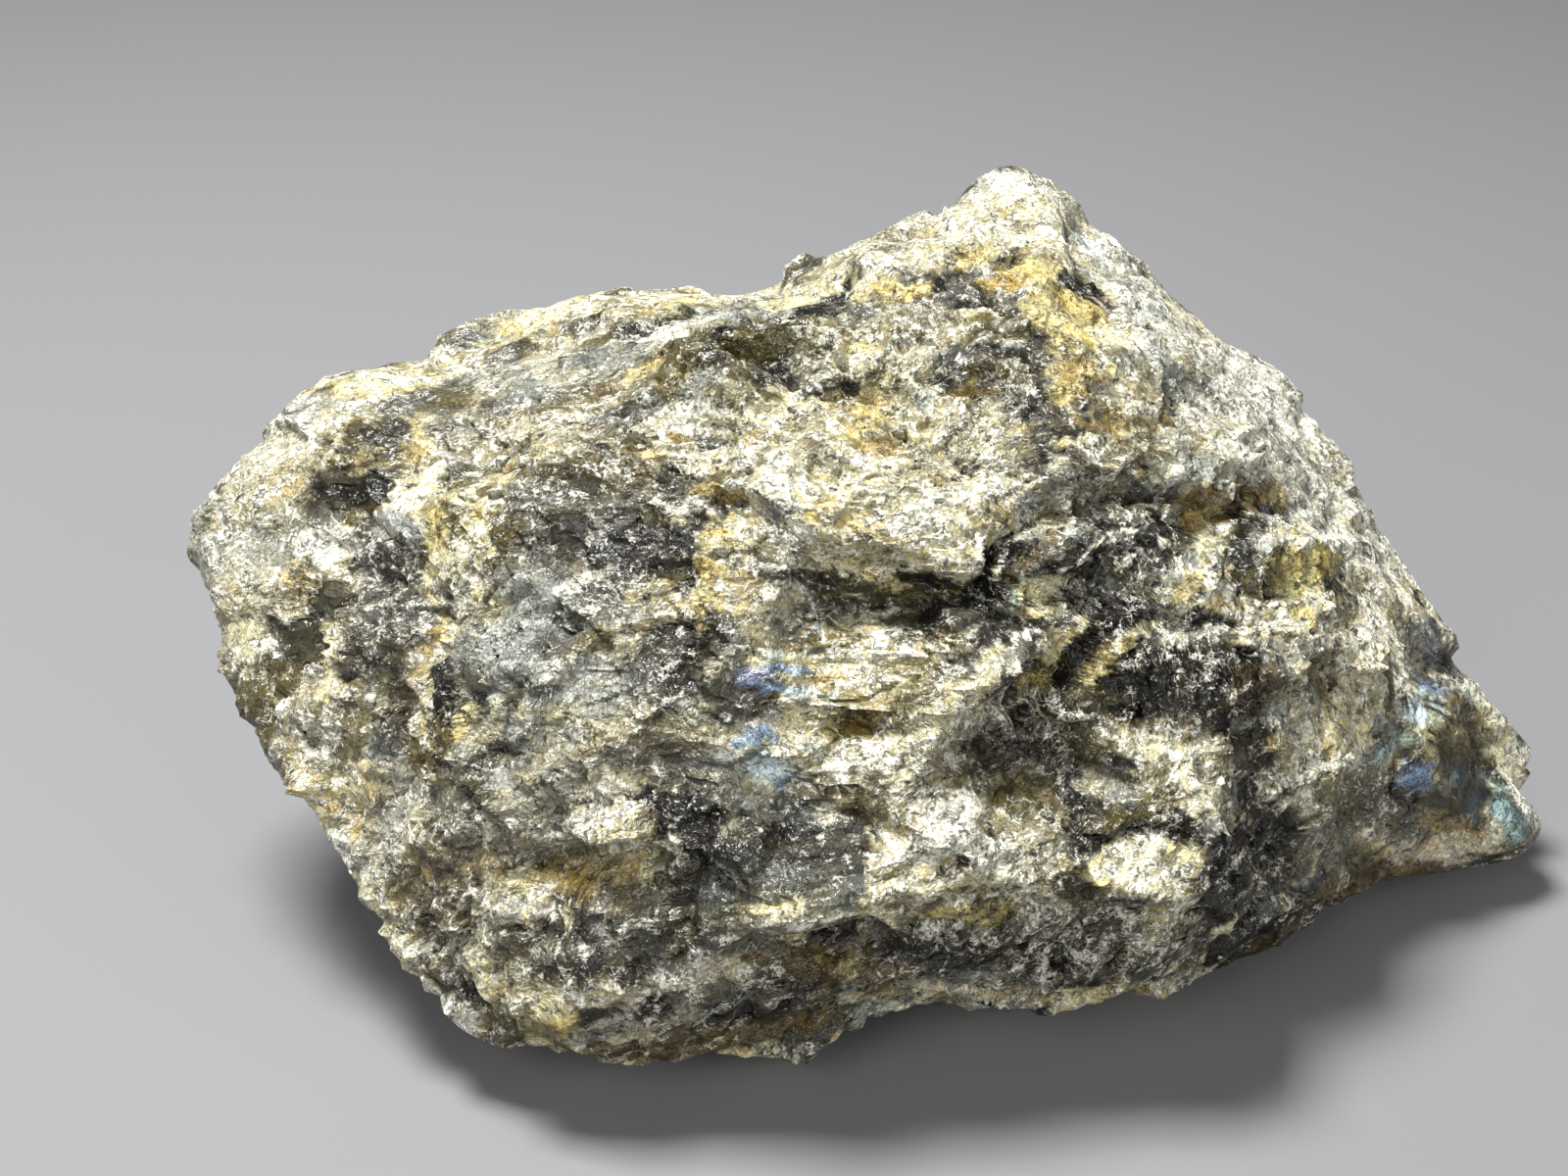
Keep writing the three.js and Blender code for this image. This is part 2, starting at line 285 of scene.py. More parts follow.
# Each tone is a colour, how much of it is crushed to a pale powder, which is below nothing for clean
# glass, and how strongly it flashes.
TONES = {
    "black": ((0.009, 0.008, 0.006), 0.2, 0.0),
    "slate": ((0.057, 0.054, 0.044), 0.3, 0.0),
    "shade": ((0.11, 0.115, 0.112), -0.1, 0.0),
    # On the belly the haze tone is partly the stone's milky grey and partly a painted sheen of soft
    # light.
    "haze": ((0.242, 0.242, 0.207), 0.2, 0.0),
    "mist": ((0.372, 0.364, 0.31), 0.5, 0.0),
    "plank": ((0.08, 0.084, 0.071), 0.0, 0.0),
    "grey": ((0.204, 0.192, 0.144), 0.42, 0.0),
    "olive": ((0.072, 0.062, 0.029), 0.2, 0.0),
    "green": ((0.252, 0.221, 0.084), -0.15, 0.0),
    "brown": ((0.083, 0.061, 0.024), 0.12, 0.0),
    "amber": ((0.22, 0.165, 0.06), -0.1, 0.0),
    "gold": ((0.399, 0.342, 0.162), 0.02, 0.0),
    "straw": ((0.51, 0.466, 0.282), 0.5, 0.0),
    "tan": ((0.336, 0.291, 0.157), 0.5, 0.0),
    "cream": ((0.373, 0.332, 0.202), 0.65, 0.0),
    "white": ((0.458, 0.444, 0.37), 0.85, 0.0),
    "ice": ((0.46, 0.54, 0.56), 0.1, 0.2),
    "teal": ((0.2, 0.28, 0.27), -0.1, 0.2),
    "deep": ((0.04, 0.07, 0.1), -0.3, 0.3),
    "blue": ((0.15, 0.25, 0.45), 0.0, 0.4),
    "violet": ((0.12, 0.14, 0.24), 0.3, 0.3),
    "crumble": ((0.02, 0.018, 0.012), 0.6, 0.0),
    "window": ((0.034, 0.031, 0.018), -0.5, 0.0),
    "beige": ((0.42, 0.37, 0.29), 0.0, 0.0),
}

# Patches of the broad face, painted one over another: tone, middle across and down the camera's
# picture, half length, half width, turn in degrees from level, and strength.
PATCHES = [
    # Broad grounds under the rest
    ("mist", 250, 570, 62, 42, 75, 0.9),
    ("grey", 325, 480, 80, 60, 40, 0.8),
    ("slate", 360, 640, 90, 60, 75, 0.7),
    # The haze on the belly is partly its milky grey and partly a painted sheen.
    ("haze", 560, 640, 110, 90, 20, 0.85),
    ("slate", 610, 520, 100, 50, 22, 0.7),
    ("grey", 620, 770, 110, 60, 20, 0.6),
    ("grey", 430, 860, 100, 66, 60, 0.5),
    ("slate", 660, 950, 150, 60, 5, 0.7),
    ("grey", 560, 400, 130, 50, 18, 0.6),
    ("cream", 900, 470, 190, 70, 0, 0.6),
    ("mist", 1150, 290, 80, 34, -42, 1),
    ("mist", 1270, 400, 150, 52, -42, 1),
    ("mist", 1370, 530, 90, 40, -62, 0.95),
    ("cream", 1390, 640, 80, 34, 78, 0.7),
    ("grey", 1350, 780, 60, 60, 70, 0.6),
    ("black", 1200, 700, 110, 60, 0, 0.5),
    ("cream", 950, 245, 90, 34, 8, 0.9),
    ("cream", 1085, 225, 60, 26, -40, 0.9),
    ("haze", 1180, 390, 60, 30, -30, 0.8),
    ("white", 1300, 440, 70, 34, -45, 0.7),
    ("slate", 1050, 960, 210, 44, 0, 0.8),
    # Left tip and upper left rim
    ("mist", 230, 560, 60, 25, 80, 0.9),
    ("tan", 255, 620, 60, 14, 75, 0.7),
    ("grey", 285, 560, 60, 24, 75, 0.7),
    ("tan", 300, 480, 60, 22, 50, 0.6),
    ("cream", 345, 430, 60, 14, 42, 0.8),
    ("mist", 268, 458, 78, 20, 47, 0.9),
    ("straw", 395, 388, 55, 14, 8, 0.8),
    ("cream", 455, 370, 50, 12, 15, 0.9),
    ("straw", 545, 332, 40, 13, 15, 0.8),
    ("slate", 590, 335, 22, 11, 5, 0.9),
    ("tan", 645, 315, 42, 14, 5, 0.7),
    ("cream", 705, 302, 60, 11, 0, 0.9),
    ("gold", 690, 314, 24, 7, 5, 0.5),
    ("cream", 785, 300, 50, 10, 5, 0.8),
    ("tan", 850, 275, 40, 10, 20, 0.7),
    ("grey", 930, 230, 55, 12, 28, 0.7),
    # Peak and the slope to its right
    ("cream", 1000, 205, 40, 12, 25, 0.7),
    ("white", 1032, 186, 34, 11, -5, 0.8),
    ("straw", 1040, 212, 42, 14, -5, 0.7),
    ("tan", 1080, 225, 26, 12, -35, 0.7),
    ("grey", 1110, 245, 30, 10, -40, 0.8),
    ("ice", 1110, 252, 44, 6, -38, 0.6),
    ("mist", 1150, 290, 50, 14, -42, 0.5),
    ("ice", 1185, 312, 14, 9, 0, 0.8),
    ("straw", 1215, 325, 34, 12, -40, 0.6),
    ("gold", 1237, 352, 18, 10, -30, 0.8),
    ("white", 1275, 385, 62, 20, -42, 0.7),
    ("white", 1318, 430, 44, 20, -50, 0.8),
    ("cream", 1345, 470, 36, 14, -58, 0.7),
    ("white", 1360, 505, 26, 12, -65, 0.8),
    ("mist", 1380, 545, 30, 14, -65, 0.7),
    ("mist", 1400, 575, 26, 12, -55, 0.8),
    # Left end: pits, rib and dark panel
    ("white", 330, 555, 34, 22, 10, 0.8),
    ("slate", 335, 520, 34, 14, 0, 0.7),
    ("tan", 300, 600, 30, 22, 70, 0.7),
    ("grey", 348, 590, 26, 16, 10, 0.8),
    ("white", 336, 560, 30, 18, 10, 0.7),
    ("window", 366, 470, 50, 44, 30, 1),
    ("window", 394, 443, 26, 20, 10, 1),
    ("black", 396, 440, 20, 10, 10, 1),
    ("tan", 368, 462, 26, 6, 15, 0.7),
    ("tan", 372, 482, 30, 6, 12, 0.7),
    ("window", 364, 502, 48, 16, 5, 1),
    ("black", 368, 500, 40, 9, 5, 1),
    ("straw", 338, 462, 22, 7, 70, 0.5),
    ("black", 325, 505, 20, 12, 60, 0.6),
    ("gold", 426, 452, 32, 8, 85, 0.95),
    ("straw", 434, 500, 28, 13, 80, 0.8),
    ("slate", 462, 438, 28, 20, 80, 0.7),
    ("haze", 456, 470, 20, 14, 0, 0.8),
    ("gold", 440, 535, 28, 12, 80, 0.8),
    ("straw", 450, 590, 32, 15, 82, 0.8),
    ("cream", 474, 560, 26, 14, 75, 0.7),
    ("gold", 446, 640, 32, 7, 85, 0.8),
    ("slate", 407, 590, 46, 28, 80, 0.9),
    ("slate", 396, 665, 34, 24, 80, 0.8),
    ("window", 337, 610, 18, 14, 10, 1),
    ("window", 311, 655, 28, 15, 82, 1),
    ("tan", 343, 662, 26, 8, 85, 0.9),
    ("olive", 300, 700, 28, 12, 80, 0.8),
    ("straw", 340, 690, 34, 9, 82, 0.8),
    ("straw", 258, 655, 44, 9, 78, 0.7),
    ("white", 290, 722, 14, 10, 40, 0.7),
    ("olive", 360, 750, 44, 18, 75, 0.8),
    ("black", 402, 730, 44, 24, 75, 0.8),
    ("cream", 370, 780, 80, 4, 76, 0.7),
    ("brown", 440, 760, 28, 22, 45, 0.8),
    ("gold", 474, 735, 24, 9, 65, 0.8),
    ("haze", 462, 788, 34, 12, 52, 0.6),
    ("olive", 300, 785, 26, 18, -50, 0.7),
    ("straw", 322, 812, 44, 10, -55, 0.7),
    ("grey", 405, 835, 56, 36, 62, 0.7),
    ("brown", 440, 900, 56, 46, 45, 0.6),
    ("cream", 422, 850, 60, 4, 74, 0.6),
    # The white strips along the lower left rim, and the cream one between them, are a painted highlight
    # on its edge.
    ("white", 350, 860, 34, 8, -62, 0.9),
    ("cream", 385, 905, 40, 8, -58, 0.6),
    ("white", 448, 1018, 54, 9, -38, 0.9),
    # Brow
    ("olive", 462, 404, 32, 13, 15, 0.8),
    ("grey", 494, 454, 28, 24, 60, 0.9),
    ("slate", 522, 402, 36, 13, 15, 0.8),
    ("haze", 560, 385, 60, 13, 18, 0.8),
    ("haze", 625, 365, 60, 12, 20, 0.8),
    ("brown", 600, 402, 60, 10, 20, 0.7),
    ("gold", 665, 376, 30, 7, 25, 0.7),
    # A painted highlight: a thin white line along the crest of the brow.
    ("white", 690, 336, 84, 7, 20, 0.8),
    ("haze", 745, 320, 52, 10, 18, 0.7),
    ("olive", 788, 352, 60, 24, 8, 0.95),
    ("black", 812, 376, 52, 12, 12, 0.8),
    ("black", 740, 362, 34, 10, 20, 0.6),
    ("grey", 856, 345, 30, 18, 80, 0.6),
    ("haze", 726, 397, 38, 15, 10, 0.9),
    ("white", 700, 430, 52, 16, 20, 0.7),
    ("cream", 765, 432, 62, 14, 10, 0.8),
    ("straw", 820, 414, 20, 8, 0, 0.9),
    ("cream", 560, 436, 60, 16, 20, 0.5),
    ("slate", 640, 430, 44, 14, 28, 0.6),
    # Belly
    ("slate", 560, 500, 66, 34, 22, 0.8),
    ("olive", 600, 470, 52, 18, 25, 0.7),
    ("brown", 642, 482, 32, 15, 5, 0.8),
    ("amber", 697, 452, 13, 5, -20, 1),
    ("black", 690, 500, 32, 22, 60, 0.8),
    ("amber", 735, 505, 26, 8, -10, 0.8),
    ("slate", 600, 560, 90, 34, 30, 0.8),
    ("black", 652, 560, 54, 28, 32, 0.9),
    ("black", 632, 602, 60, 18, 30, 0.8),
    ("black", 702, 568, 42, 18, 80, 0.9),
    # Haze patches: partly the belly's milky grey, partly a painted sheen.
    ("haze", 535, 612, 36, 32, 20, 0.95),
    ("haze", 520, 655, 34, 22, 70, 0.8),
    ("slate", 592, 640, 62, 22, 25, 0.7),
    ("white", 600, 592, 40, 9, 20, 0.5),
    ("olive", 600, 655, 32, 10, 5, 0.7),
    ("slate", 645, 690, 66, 24, 32, 0.8),
    ("black", 700, 680, 54, 16, 52, 0.8),
    ("haze", 562, 738, 50, 34, 15, 1),
    ("haze", 602, 712, 36, 18, 20, 0.8),
    ("black", 545, 702, 30, 6, -18, 0.8),
    ("haze", 516, 816, 36, 22, 10, 0.9),
    ("grey", 562, 796, 52, 22, 20, 0.7),
    ("olive", 478, 690, 26, 14, 62, 0.6),
    ("straw", 498, 735, 30, 14, 62, 0.5),
    ("slate", 650, 770, 52, 22, 20, 0.7),
    ("cream", 628, 800, 34, 22, 10, 0.6),
    ("cream", 640, 842, 34, 22, 10, 0.9),
    ("straw", 656, 872, 30, 15, 80, 0.8),
    # Long slot of the belly and the corner below
    ("olive", 560, 878, 54, 9, 12, 0.9),
    ("amber", 592, 893, 62, 11, 8, 0.9),
    ("black", 604, 914, 44, 8, 5, 0.9),
    ("olive", 650, 905, 24, 12, 30, 0.8),
    ("white", 540, 932, 24, 8, 5, 0.7),
    ("cream", 585, 936, 16, 10, 70, 0.7),
    ("brown", 500, 900, 44, 18, 68, 0.6),
    ("grey", 485, 950, 56, 30, 50, 0.7),
    ("slate", 560, 962, 56, 24, 20, 0.7),
    ("black", 622, 942, 72, 17, 8, 0.9),
    ("black", 600, 988, 64, 17, 10, 0.7),
    ("black", 662, 962, 34, 18, 20, 0.8),
    ("black", 702, 930, 42, 26, 20, 0.8),
    ("black", 724, 878, 54, 22, 15, 0.8),
    ("black", 692, 822, 44, 26, 30, 0.7),
    ("black", 762, 858, 62, 22, 20, 0.8),
    ("slate", 704, 778, 44, 26, 30, 0.7),
    ("gold", 576, 1044, 20, 14, 60, 0.9),
    ("cream", 600, 1010, 40, 12, 20, 0.5),
    ("cream", 645, 1012, 72, 11, 5, 0.6),
    ("white", 704, 990, 44, 10, 8, 0.6),
    ("olive", 520, 1034, 62, 11, -24, 0.7),
    ("brown", 630, 1072, 110, 11, 3, 0.95),
    ("brown", 722, 1060, 92, 15, 8, 0.95),
    ("brown", 805, 1044, 62, 11, 10, 0.95),
    # Pale swelling of the middle, and painted shadow in its undercut slot
    ("cream", 765, 470, 62, 18, 5, 0.8),
    ("cream", 852, 470, 72, 20, 0, 0.7),
    ("cream", 825, 498, 62, 13, -5, 0.8),
    ("tan", 855, 530, 82, 17, -8, 0.9),
    ("tan", 905, 562, 82, 13, 0, 0.8),
    ("cream", 950, 518, 62, 26, 30, 0.8),
    ("tan", 1002, 540, 52, 18, 45, 0.8),
    ("tan", 745, 562, 42, 28, 62, 0.9),
    ("tan", 756, 602, 36, 24, 30, 0.8),
    ("gold", 722, 590, 50, 7, 85, 0.6),
    ("violet", 791, 520, 14, 5, 0, 0.9),
    # The black strips under the swelling are painted shadow in the slot.
    ("black", 835, 590, 62, 11, -5, 0.9),
    ("black", 905, 613, 82, 9, 3, 0.95),
    ("olive", 925, 606, 60, 6, 5, 0.9),
    ("slate", 842, 622, 42, 11, -5, 0.8),
    ("black", 965, 632, 62, 12, 5, 0.8),
    ("black", 822, 642, 44, 14, 10, 0.6),
    ("ice", 830, 640, 13, 5, 0, 0.9),
    ("slate", 800, 660, 62, 14, -5, 0.7),
    # Blue flashes
    ("black", 765, 700, 44, 30, 0, 0.7),
    ("ice", 806, 668, 40, 6, -8, 0.9),
    ("blue", 812, 682, 38, 5, -6, 0.6),
    ("violet", 772, 690, 24, 7, -10, 0.9),
    ("blue", 800, 704, 42, 5, -5, 0.6),
    ("ice", 824, 710, 36, 6, -4, 1),
    ("black", 760, 724, 42, 10, 0, 0.8),
    ("blue", 771, 750, 15, 8, 0, 0.7),
    ("ice", 786, 782, 30, 16, 5, 1),
    ("ice", 826, 760, 10, 6, 0, 0.7),
    ("blue", 800, 800, 14, 6, 0, 0.8),
    # Crushed band from the slot to the great hollow
    ("tan", 862, 650, 32, 11, 0, 0.6),
    ("tan", 882, 670, 42, 14, 10, 0.8),
    ("tan", 926, 675, 52, 19, 15, 0.9),
    ("tan", 902, 700, 52, 13, 10, 0.8),
    ("amber", 872, 741, 36, 8, 12, 0.95),
    ("black", 882, 752, 28, 4, 12, 0.8),
    ("cream", 862, 770, 42, 13, 10, 0.7),
    ("cream", 902, 780, 52, 22, 20, 0.9),
    ("cream", 941, 750, 52, 22, 40, 0.9),
    ("cream", 971, 720, 52, 17, 45, 0.9),
    ("straw", 1001, 690, 42, 15, 45, 0.8),
    ("white", 1036, 670, 38, 15, 45, 0.8),
    ("gold", 1061, 689, 38, 8, 45, 0.9),
    ("teal", 1040, 608, 16, 10, 60, 0.6),
    ("straw", 1082, 650, 34, 11, 40, 0.7),
    ("black", 1115, 653, 40, 13, 50, 0.95),
    ("black", 1078, 702, 38, 15, 50, 0.9),
    ("gold", 1132, 675, 34, 9, 45, 0.9),
    ("tan", 1152, 650, 34, 9, 30, 0.7),
    ("slate", 852, 800, 52, 19, 10, 0.8),
    ("olive", 880, 820, 28, 18, 0, 0.8),
    ("black", 802, 830, 52, 18, 10, 0.6),
    # Great hollow
    ("slate", 1010, 752, 40, 20, 30, 0.9),
    ("olive", 1002, 780, 42, 12, 25, 0.8),
    ("slate", 1052, 778, 48, 32, 15, 0.8),
    ("black", 1075, 752, 30, 10, 20, 0.8),
    ("tan", 1040, 790, 30, 7, 10, 0.5),
    ("olive", 1042, 806, 42, 14, 10, 0.9),
    ("olive", 1112, 760, 28, 22, 0, 0.8),
    ("haze", 1128, 800, 36, 20, 5, 0.8),
    ("cream", 1162, 750, 44, 9, 5, 0.7),
    ("straw", 1176, 764, 36, 9, 5, 0.8),
    ("olive", 1150, 790, 34, 10, 0, 0.7),
    ("olive", 1178, 821, 34, 13, 18, 0.9),
    ("olive", 1130, 838, 42, 10, 10, 0.8),
    ("white", 965, 835, 36, 19, 30, 1),
    ("white", 930, 862, 52, 15, 20, 0.8),
    ("white", 1002, 870, 62, 16, -20, 0.9),
    ("grey", 1052, 880, 42, 12, -15, 0.8),
    ("slate", 1045, 850, 52, 9, -10, 0.7),
    ("cream", 952, 900, 84, 11, 5, 0.8),
    ("gold", 996, 930, 54, 8, 2, 0.9),
    ("straw", 1178, 889, 54, 28, 8, 1),
    ("cream", 1152, 868, 44, 12, 18, 0.9),
    ("cream", 1202, 920, 44, 22, 40, 0.8),
    ("black", 1132, 922, 44, 7, 10, 0.8),
    ("black", 1092, 900, 28, 7, -20, 0.8),
    ("cream", 1062, 926, 54, 8, -5, 0.6),
    ("cream", 1172, 952, 52, 12, 18, 0.6),
    # Plank and lower band
    ("plank", 812, 914, 96, 24, 8, 1),
    ("plank", 770, 890, 52, 12, 10, 0.7),
    ("olive", 740, 936, 28, 9, 5, 0.8),
    ("straw", 782, 934, 32, 7, 5, 0.7),
    ("black", 872, 941, 44, 7, 5, 0.8),
    ("slate", 872, 880, 44, 14, 20, 0.7),
    ("slate", 762, 975, 64, 22, 5, 0.8),
    ("black", 960, 970, 64, 22, 0, 0.9),
    ("black", 1062, 968, 94, 18, 3, 0.9),
    ("slate", 1152, 990, 64, 16, 5, 0.8),
    ("slate", 1202, 962, 44, 18, 30, 0.7),
    ("brown", 872, 992, 54, 15, 0, 0.9),
    ("brown", 822, 976, 62, 12, 0, 0.9),
    ("cream", 742, 986, 32, 8, 0, 0.7),
    ("tan", 858, 988, 22, 12, 20, 0.7),
    ("tan", 1002, 1014, 120, 7, 0, 0.7),
    ("tan", 1162, 1010, 64, 7, 5, 0.7),
    # Gold field under the peak
    ("cream", 1000, 238, 64, 10, 3, 0.7),
    ("grey", 925, 250, 40, 7, 20, 0.5),
    ("cream", 1062, 252, 44, 11, -18, 0.8),
    ("straw", 886, 300, 28, 17, 80, 0.7),
    ("gold", 919, 297, 38, 12, 10, 1),
    ("gold", 991, 263, 24, 13, 18, 0.95),
    ("gold", 1046, 280, 34, 19, 0, 1),
    ("amber", 1016, 291, 30, 10, 0, 0.95),
    ("gold", 1072, 312, 34, 24, -20, 0.95),
    ("black", 963, 282, 22, 7, 68, 1),
    ("slate", 940, 310, 16, 6, 18, 0.9),
    ("slate", 892, 322, 24, 12, -8, 1),
    ("slate", 936, 330, 12, 8, 0, 0.8),
    ("olive", 1015, 331, 44, 17, -5, 0.95),
    ("black", 1003, 314, 40, 5, -8, 0.95),
    ("white", 1010, 322, 34, 3, -8, 0.6),
    ("white", 1012, 346, 42, 3, -8, 0.7),
    ("black", 1018, 355, 36, 6, -8, 0.8),
    ("tan", 1012, 366, 36, 3, -5, 0.6),
    ("olive", 1015, 380, 34, 8, -5, 0.9),
    ("slate", 988, 368, 40, 7, -5, 0.6),
    ("gold", 1102, 342, 32, 22, 60, 0.9),
    ("gold", 1096, 388, 34, 18, 20, 0.95),
    ("amber", 1091, 381, 20, 12, 30, 1),
    ("straw", 1132, 350, 24, 20, 0, 0.7),
    ("ice", 950, 402, 22, 11, 60, 0.8),
    ("tan", 912, 402, 42, 26, 60, 0.7),
    ("straw", 880, 362, 32, 17, 70, 0.7),
    ("gold", 886, 420, 40, 18, 75, 0.5),
    ("amber", 992, 400, 32, 6, 0, 0.7),
    ("cream", 942, 440, 62, 20, 20, 0.8),
    ("tan", 1002, 450, 52, 18, 20, 0.7),
    ("amber", 900, 455, 26, 9, 10, 0.6),
    ("cream", 1022, 500, 62, 12, 30, 0.8),
    ("black", 1055, 422, 18, 9, 45, 1),
    ("slate", 1074, 431, 15, 14, 0, 1),
    ("black", 1066, 456, 15, 9, 0, 0.9),
    ("slate", 1056, 473, 17, 13, 0, 0.95),
    ("black", 983, 476, 11, 7, 0, 1),
    ("black", 975, 488, 8, 5, 0, 0.9),
    # Banded slope to the right of it
    ("haze", 1182, 385, 52, 16, -30, 0.8),
    ("grey", 1142, 396, 42, 12, 18, 0.7),
    ("cream", 1150, 418, 52, 6, 3, 0.7),
    ("amber", 1142, 435, 58, 8, 3, 0.9),
    ("straw", 1122, 449, 52, 7, 5, 0.9),
    ("brown", 1188, 437, 24, 8, 0, 0.95),
    ("grey", 1202, 420, 52, 13, -20, 0.7),
    ("white", 1242, 450, 62, 14, -30, 0.7),
    ("grey", 1182, 462, 72, 9, 5, 0.8),
    ("white", 1170, 478, 50, 4, 5, 0.7),
    ("slate", 1112, 484, 40, 6, 5, 0.7),
    ("white", 1282, 480, 52, 13, -30, 0.7),
    ("olive", 1086, 520, 34, 13, 10, 0.8),
    ("black", 1152, 510, 52, 14, 10, 0.9),
    ("slate", 1116, 545, 84, 18, 25, 0.7),
    ("grey", 1120, 500, 60, 14, 15, 0.6),
    ("black", 1182, 560, 62, 17, 30, 0.95),
    ("slate", 1152, 590, 84, 12, 28, 0.8),
    ("white", 1120, 560, 60, 3, 26, 0.6),
    ("white", 1140, 580, 60, 3, 28, 0.6),
    ("slate", 1096, 592, 42, 12, 30, 0.8),
    ("brown", 1052, 572, 34, 10, 45, 0.6),
    ("straw", 1062, 602, 30, 16, 50, 0.6),
    # Amber hollow, green window and black swelling
    ("brown", 1246, 513, 48, 22, 0, 0.95),
    ("amber", 1222, 527, 20, 14, 0, 0.9),
    ("amber", 1292, 500, 22, 11, 0, 0.8),
    ("black", 1266, 562, 42, 19, 80, 0.95),
    ("black", 1292, 592, 34, 24, 70, 0.8),
    ("straw", 1229, 572, 30, 13, 85, 1),
    ("white", 1238, 601, 18, 7, 0, 0.8),
    ("tan", 1202, 602, 26, 12, 0, 0.7),
    ("green", 1328, 581, 36, 27, 5, 0.95),
    ("cream", 1320, 546, 28, 12, 0, 0.8),
    ("straw", 1332, 622, 36, 12, 18, 0.8),
    ("gold", 1300, 640, 38, 12, 10, 0.7),
    ("white", 1350, 530, 26, 14, 80, 0.9),
    ("white", 1232, 650, 54, 11, 0, 0.7),
    ("white", 1272, 632, 32, 6, -10, 0.9),
    ("cream", 1282, 648, 42, 11, 10, 0.8),
    ("black", 1226, 690, 56, 40, 0, 0.95),
    ("brown", 1282, 702, 42, 24, 10, 0.8),
    ("slate", 1196, 742, 32, 15, 0, 0.8),
    ("grey", 1188, 738, 12, 8, 0, 0.7),
    ("olive", 1345, 690, 30, 22, 70, 0.8),
    ("straw", 1372, 742, 40, 32, 70, 0.8),
    ("olive", 1366, 802, 36, 18, 20, 0.8),
    ("white", 1334, 790, 26, 8, 30, 0.7),
    ("white", 1370, 770, 22, 6, 60, 0.6),
    ("black", 1272, 782, 50, 28, 80, 0.9),
    ("black", 1282, 852, 54, 36, 80, 0.95),
    ("haze", 1248, 822, 44, 12, 80, 0.7),
    ("black", 1242, 902, 42, 28, 70, 0.9),
    ("slate", 1302, 882, 44, 26, 60, 0.9),
    ("black", 1262, 962, 44, 26, 30, 0.9),
    ("shade", 1352, 872, 52, 24, 45, 0.8),
    ("tan", 1325, 885, 36, 4, 62, 0.7),
    ("olive", 1402, 872, 62, 22, 28, 0.7),
    ("brown", 1392, 900, 72, 9, 18, 0.9),
    ("brown", 1302, 962, 72, 9, 32, 0.8),
    ("olive", 1372, 826, 28, 18, 60, 0.7),
    ("tan", 1402, 652, 52, 17, 80, 0.8),
    ("cream", 1396, 640, 26, 12, 80, 0.6),
    ("cream", 1396, 702, 32, 14, 80, 0.7),
    ("slate", 1392, 602, 22, 20, 60, 0.7),
    ("haze", 1418, 732, 32, 14, 68, 0.7),
    # Nose
    ("slate", 1416, 820, 34, 34, 0, 0.9),
    ("haze", 1400, 770, 26, 12, -30, 0.6),
    ("white", 1402, 628, 34, 20, 70, 0.6),
    ("shade", 1452, 660, 36, 22, 75, 1),
    ("violet", 1455, 672, 12, 5, 70, 0.8),
    ("cream", 1464, 627, 46, 7, -62, 0.9),
    ("haze", 1440, 706, 34, 16, 72, 0.9),
    ("ice", 1456, 716, 24, 18, 60, 1),
    ("blue", 1458, 705, 10, 8, 30, 0.8),
    ("white", 1430, 690, 24, 6, 80, 0.6),
    ("mist", 1500, 698, 34, 16, -52, 1),
    ("ice", 1508, 712, 16, 9, -45, 0.9),
    ("straw", 1526, 745, 38, 12, -66, 1),
    ("white", 1530, 725, 38, 6, -64, 0.9),
    ("window", 1488, 760, 34, 28, 30, 1),
    ("amber", 1480, 720, 16, 9, 40, 0.9),
    ("olive", 1500, 742, 26, 16, -40, 0.8),
    ("black", 1471, 710, 32, 4, 74, 0.95),
    ("teal", 1422, 760, 28, 11, 28, 0.9),
    ("black", 1432, 776, 26, 6, 32, 0.9),
    ("window", 1482, 815, 36, 32, 10, 1),
    ("deep", 1504, 832, 15, 14, 0, 1),
    ("deep", 1492, 793, 12, 8, 0, 0.8),
    ("cream", 1466, 786, 4, 26, 12, 0.6),
    ("blue", 1447, 792, 19, 15, 40, 1),
    ("black", 1440, 812, 22, 8, 50, 0.7),
    ("amber", 1472, 842, 30, 7, -8, 0.8),
    ("teal", 1536, 832, 28, 17, -68, 1),
    ("cream", 1518, 830, 28, 4, -70, 0.8),
    ("white", 1556, 812, 42, 10, -62, 1),
    ("mist", 1554, 768, 16, 24, -60, 1),
    ("straw", 1530, 776, 22, 10, -40, 0.7),
    ("beige", 1462, 868, 52, 12, 0, 1),
    ("tan", 1510, 862, 34, 7, -12, 0.8),
    ("brown", 1450, 894, 62, 8, 10, 0.95),
    # Broad glazes over the rest, which darken some whole regions and lighten others: partly their tone
    # and partly painted shade and light
    ("slate", 400, 445, 60, 40, 0, 0.3),
    ("grey", 245, 550, 36, 50, 0, 0.4),
    ("slate", 650, 450, 50, 45, 0, 0.3),
    ("olive", 950, 460, 50, 38, 0, 0.3),
    ("cream", 1150, 450, 50, 45, 0, 0.4),
    ("crumble", 1230, 700, 56, 40, 0, 0.35),
    ("cream", 900, 350, 90, 36, 10, 0.35),
    ("black", 650, 550, 50, 44, 0, 0.3),
    ("black", 850, 640, 50, 36, 0, 0.25),
    ("black", 1240, 730, 56, 50, 0, 0.25),
    ("black", 1225, 905, 60, 60, 0, 0.25),
    ("slate", 400, 640, 60, 60, 0, 0.25),
    ("slate", 850, 750, 50, 45, 0, 0.3),
    ("crumble", 1060, 745, 50, 46, 0, 0.6),
    ("cream", 1050, 850, 50, 46, 0, 0.4),
    ("crumble", 1080, 960, 130, 34, 0, 0.55),
    ("grey", 650, 950, 45, 36, 0, 0.25),
]

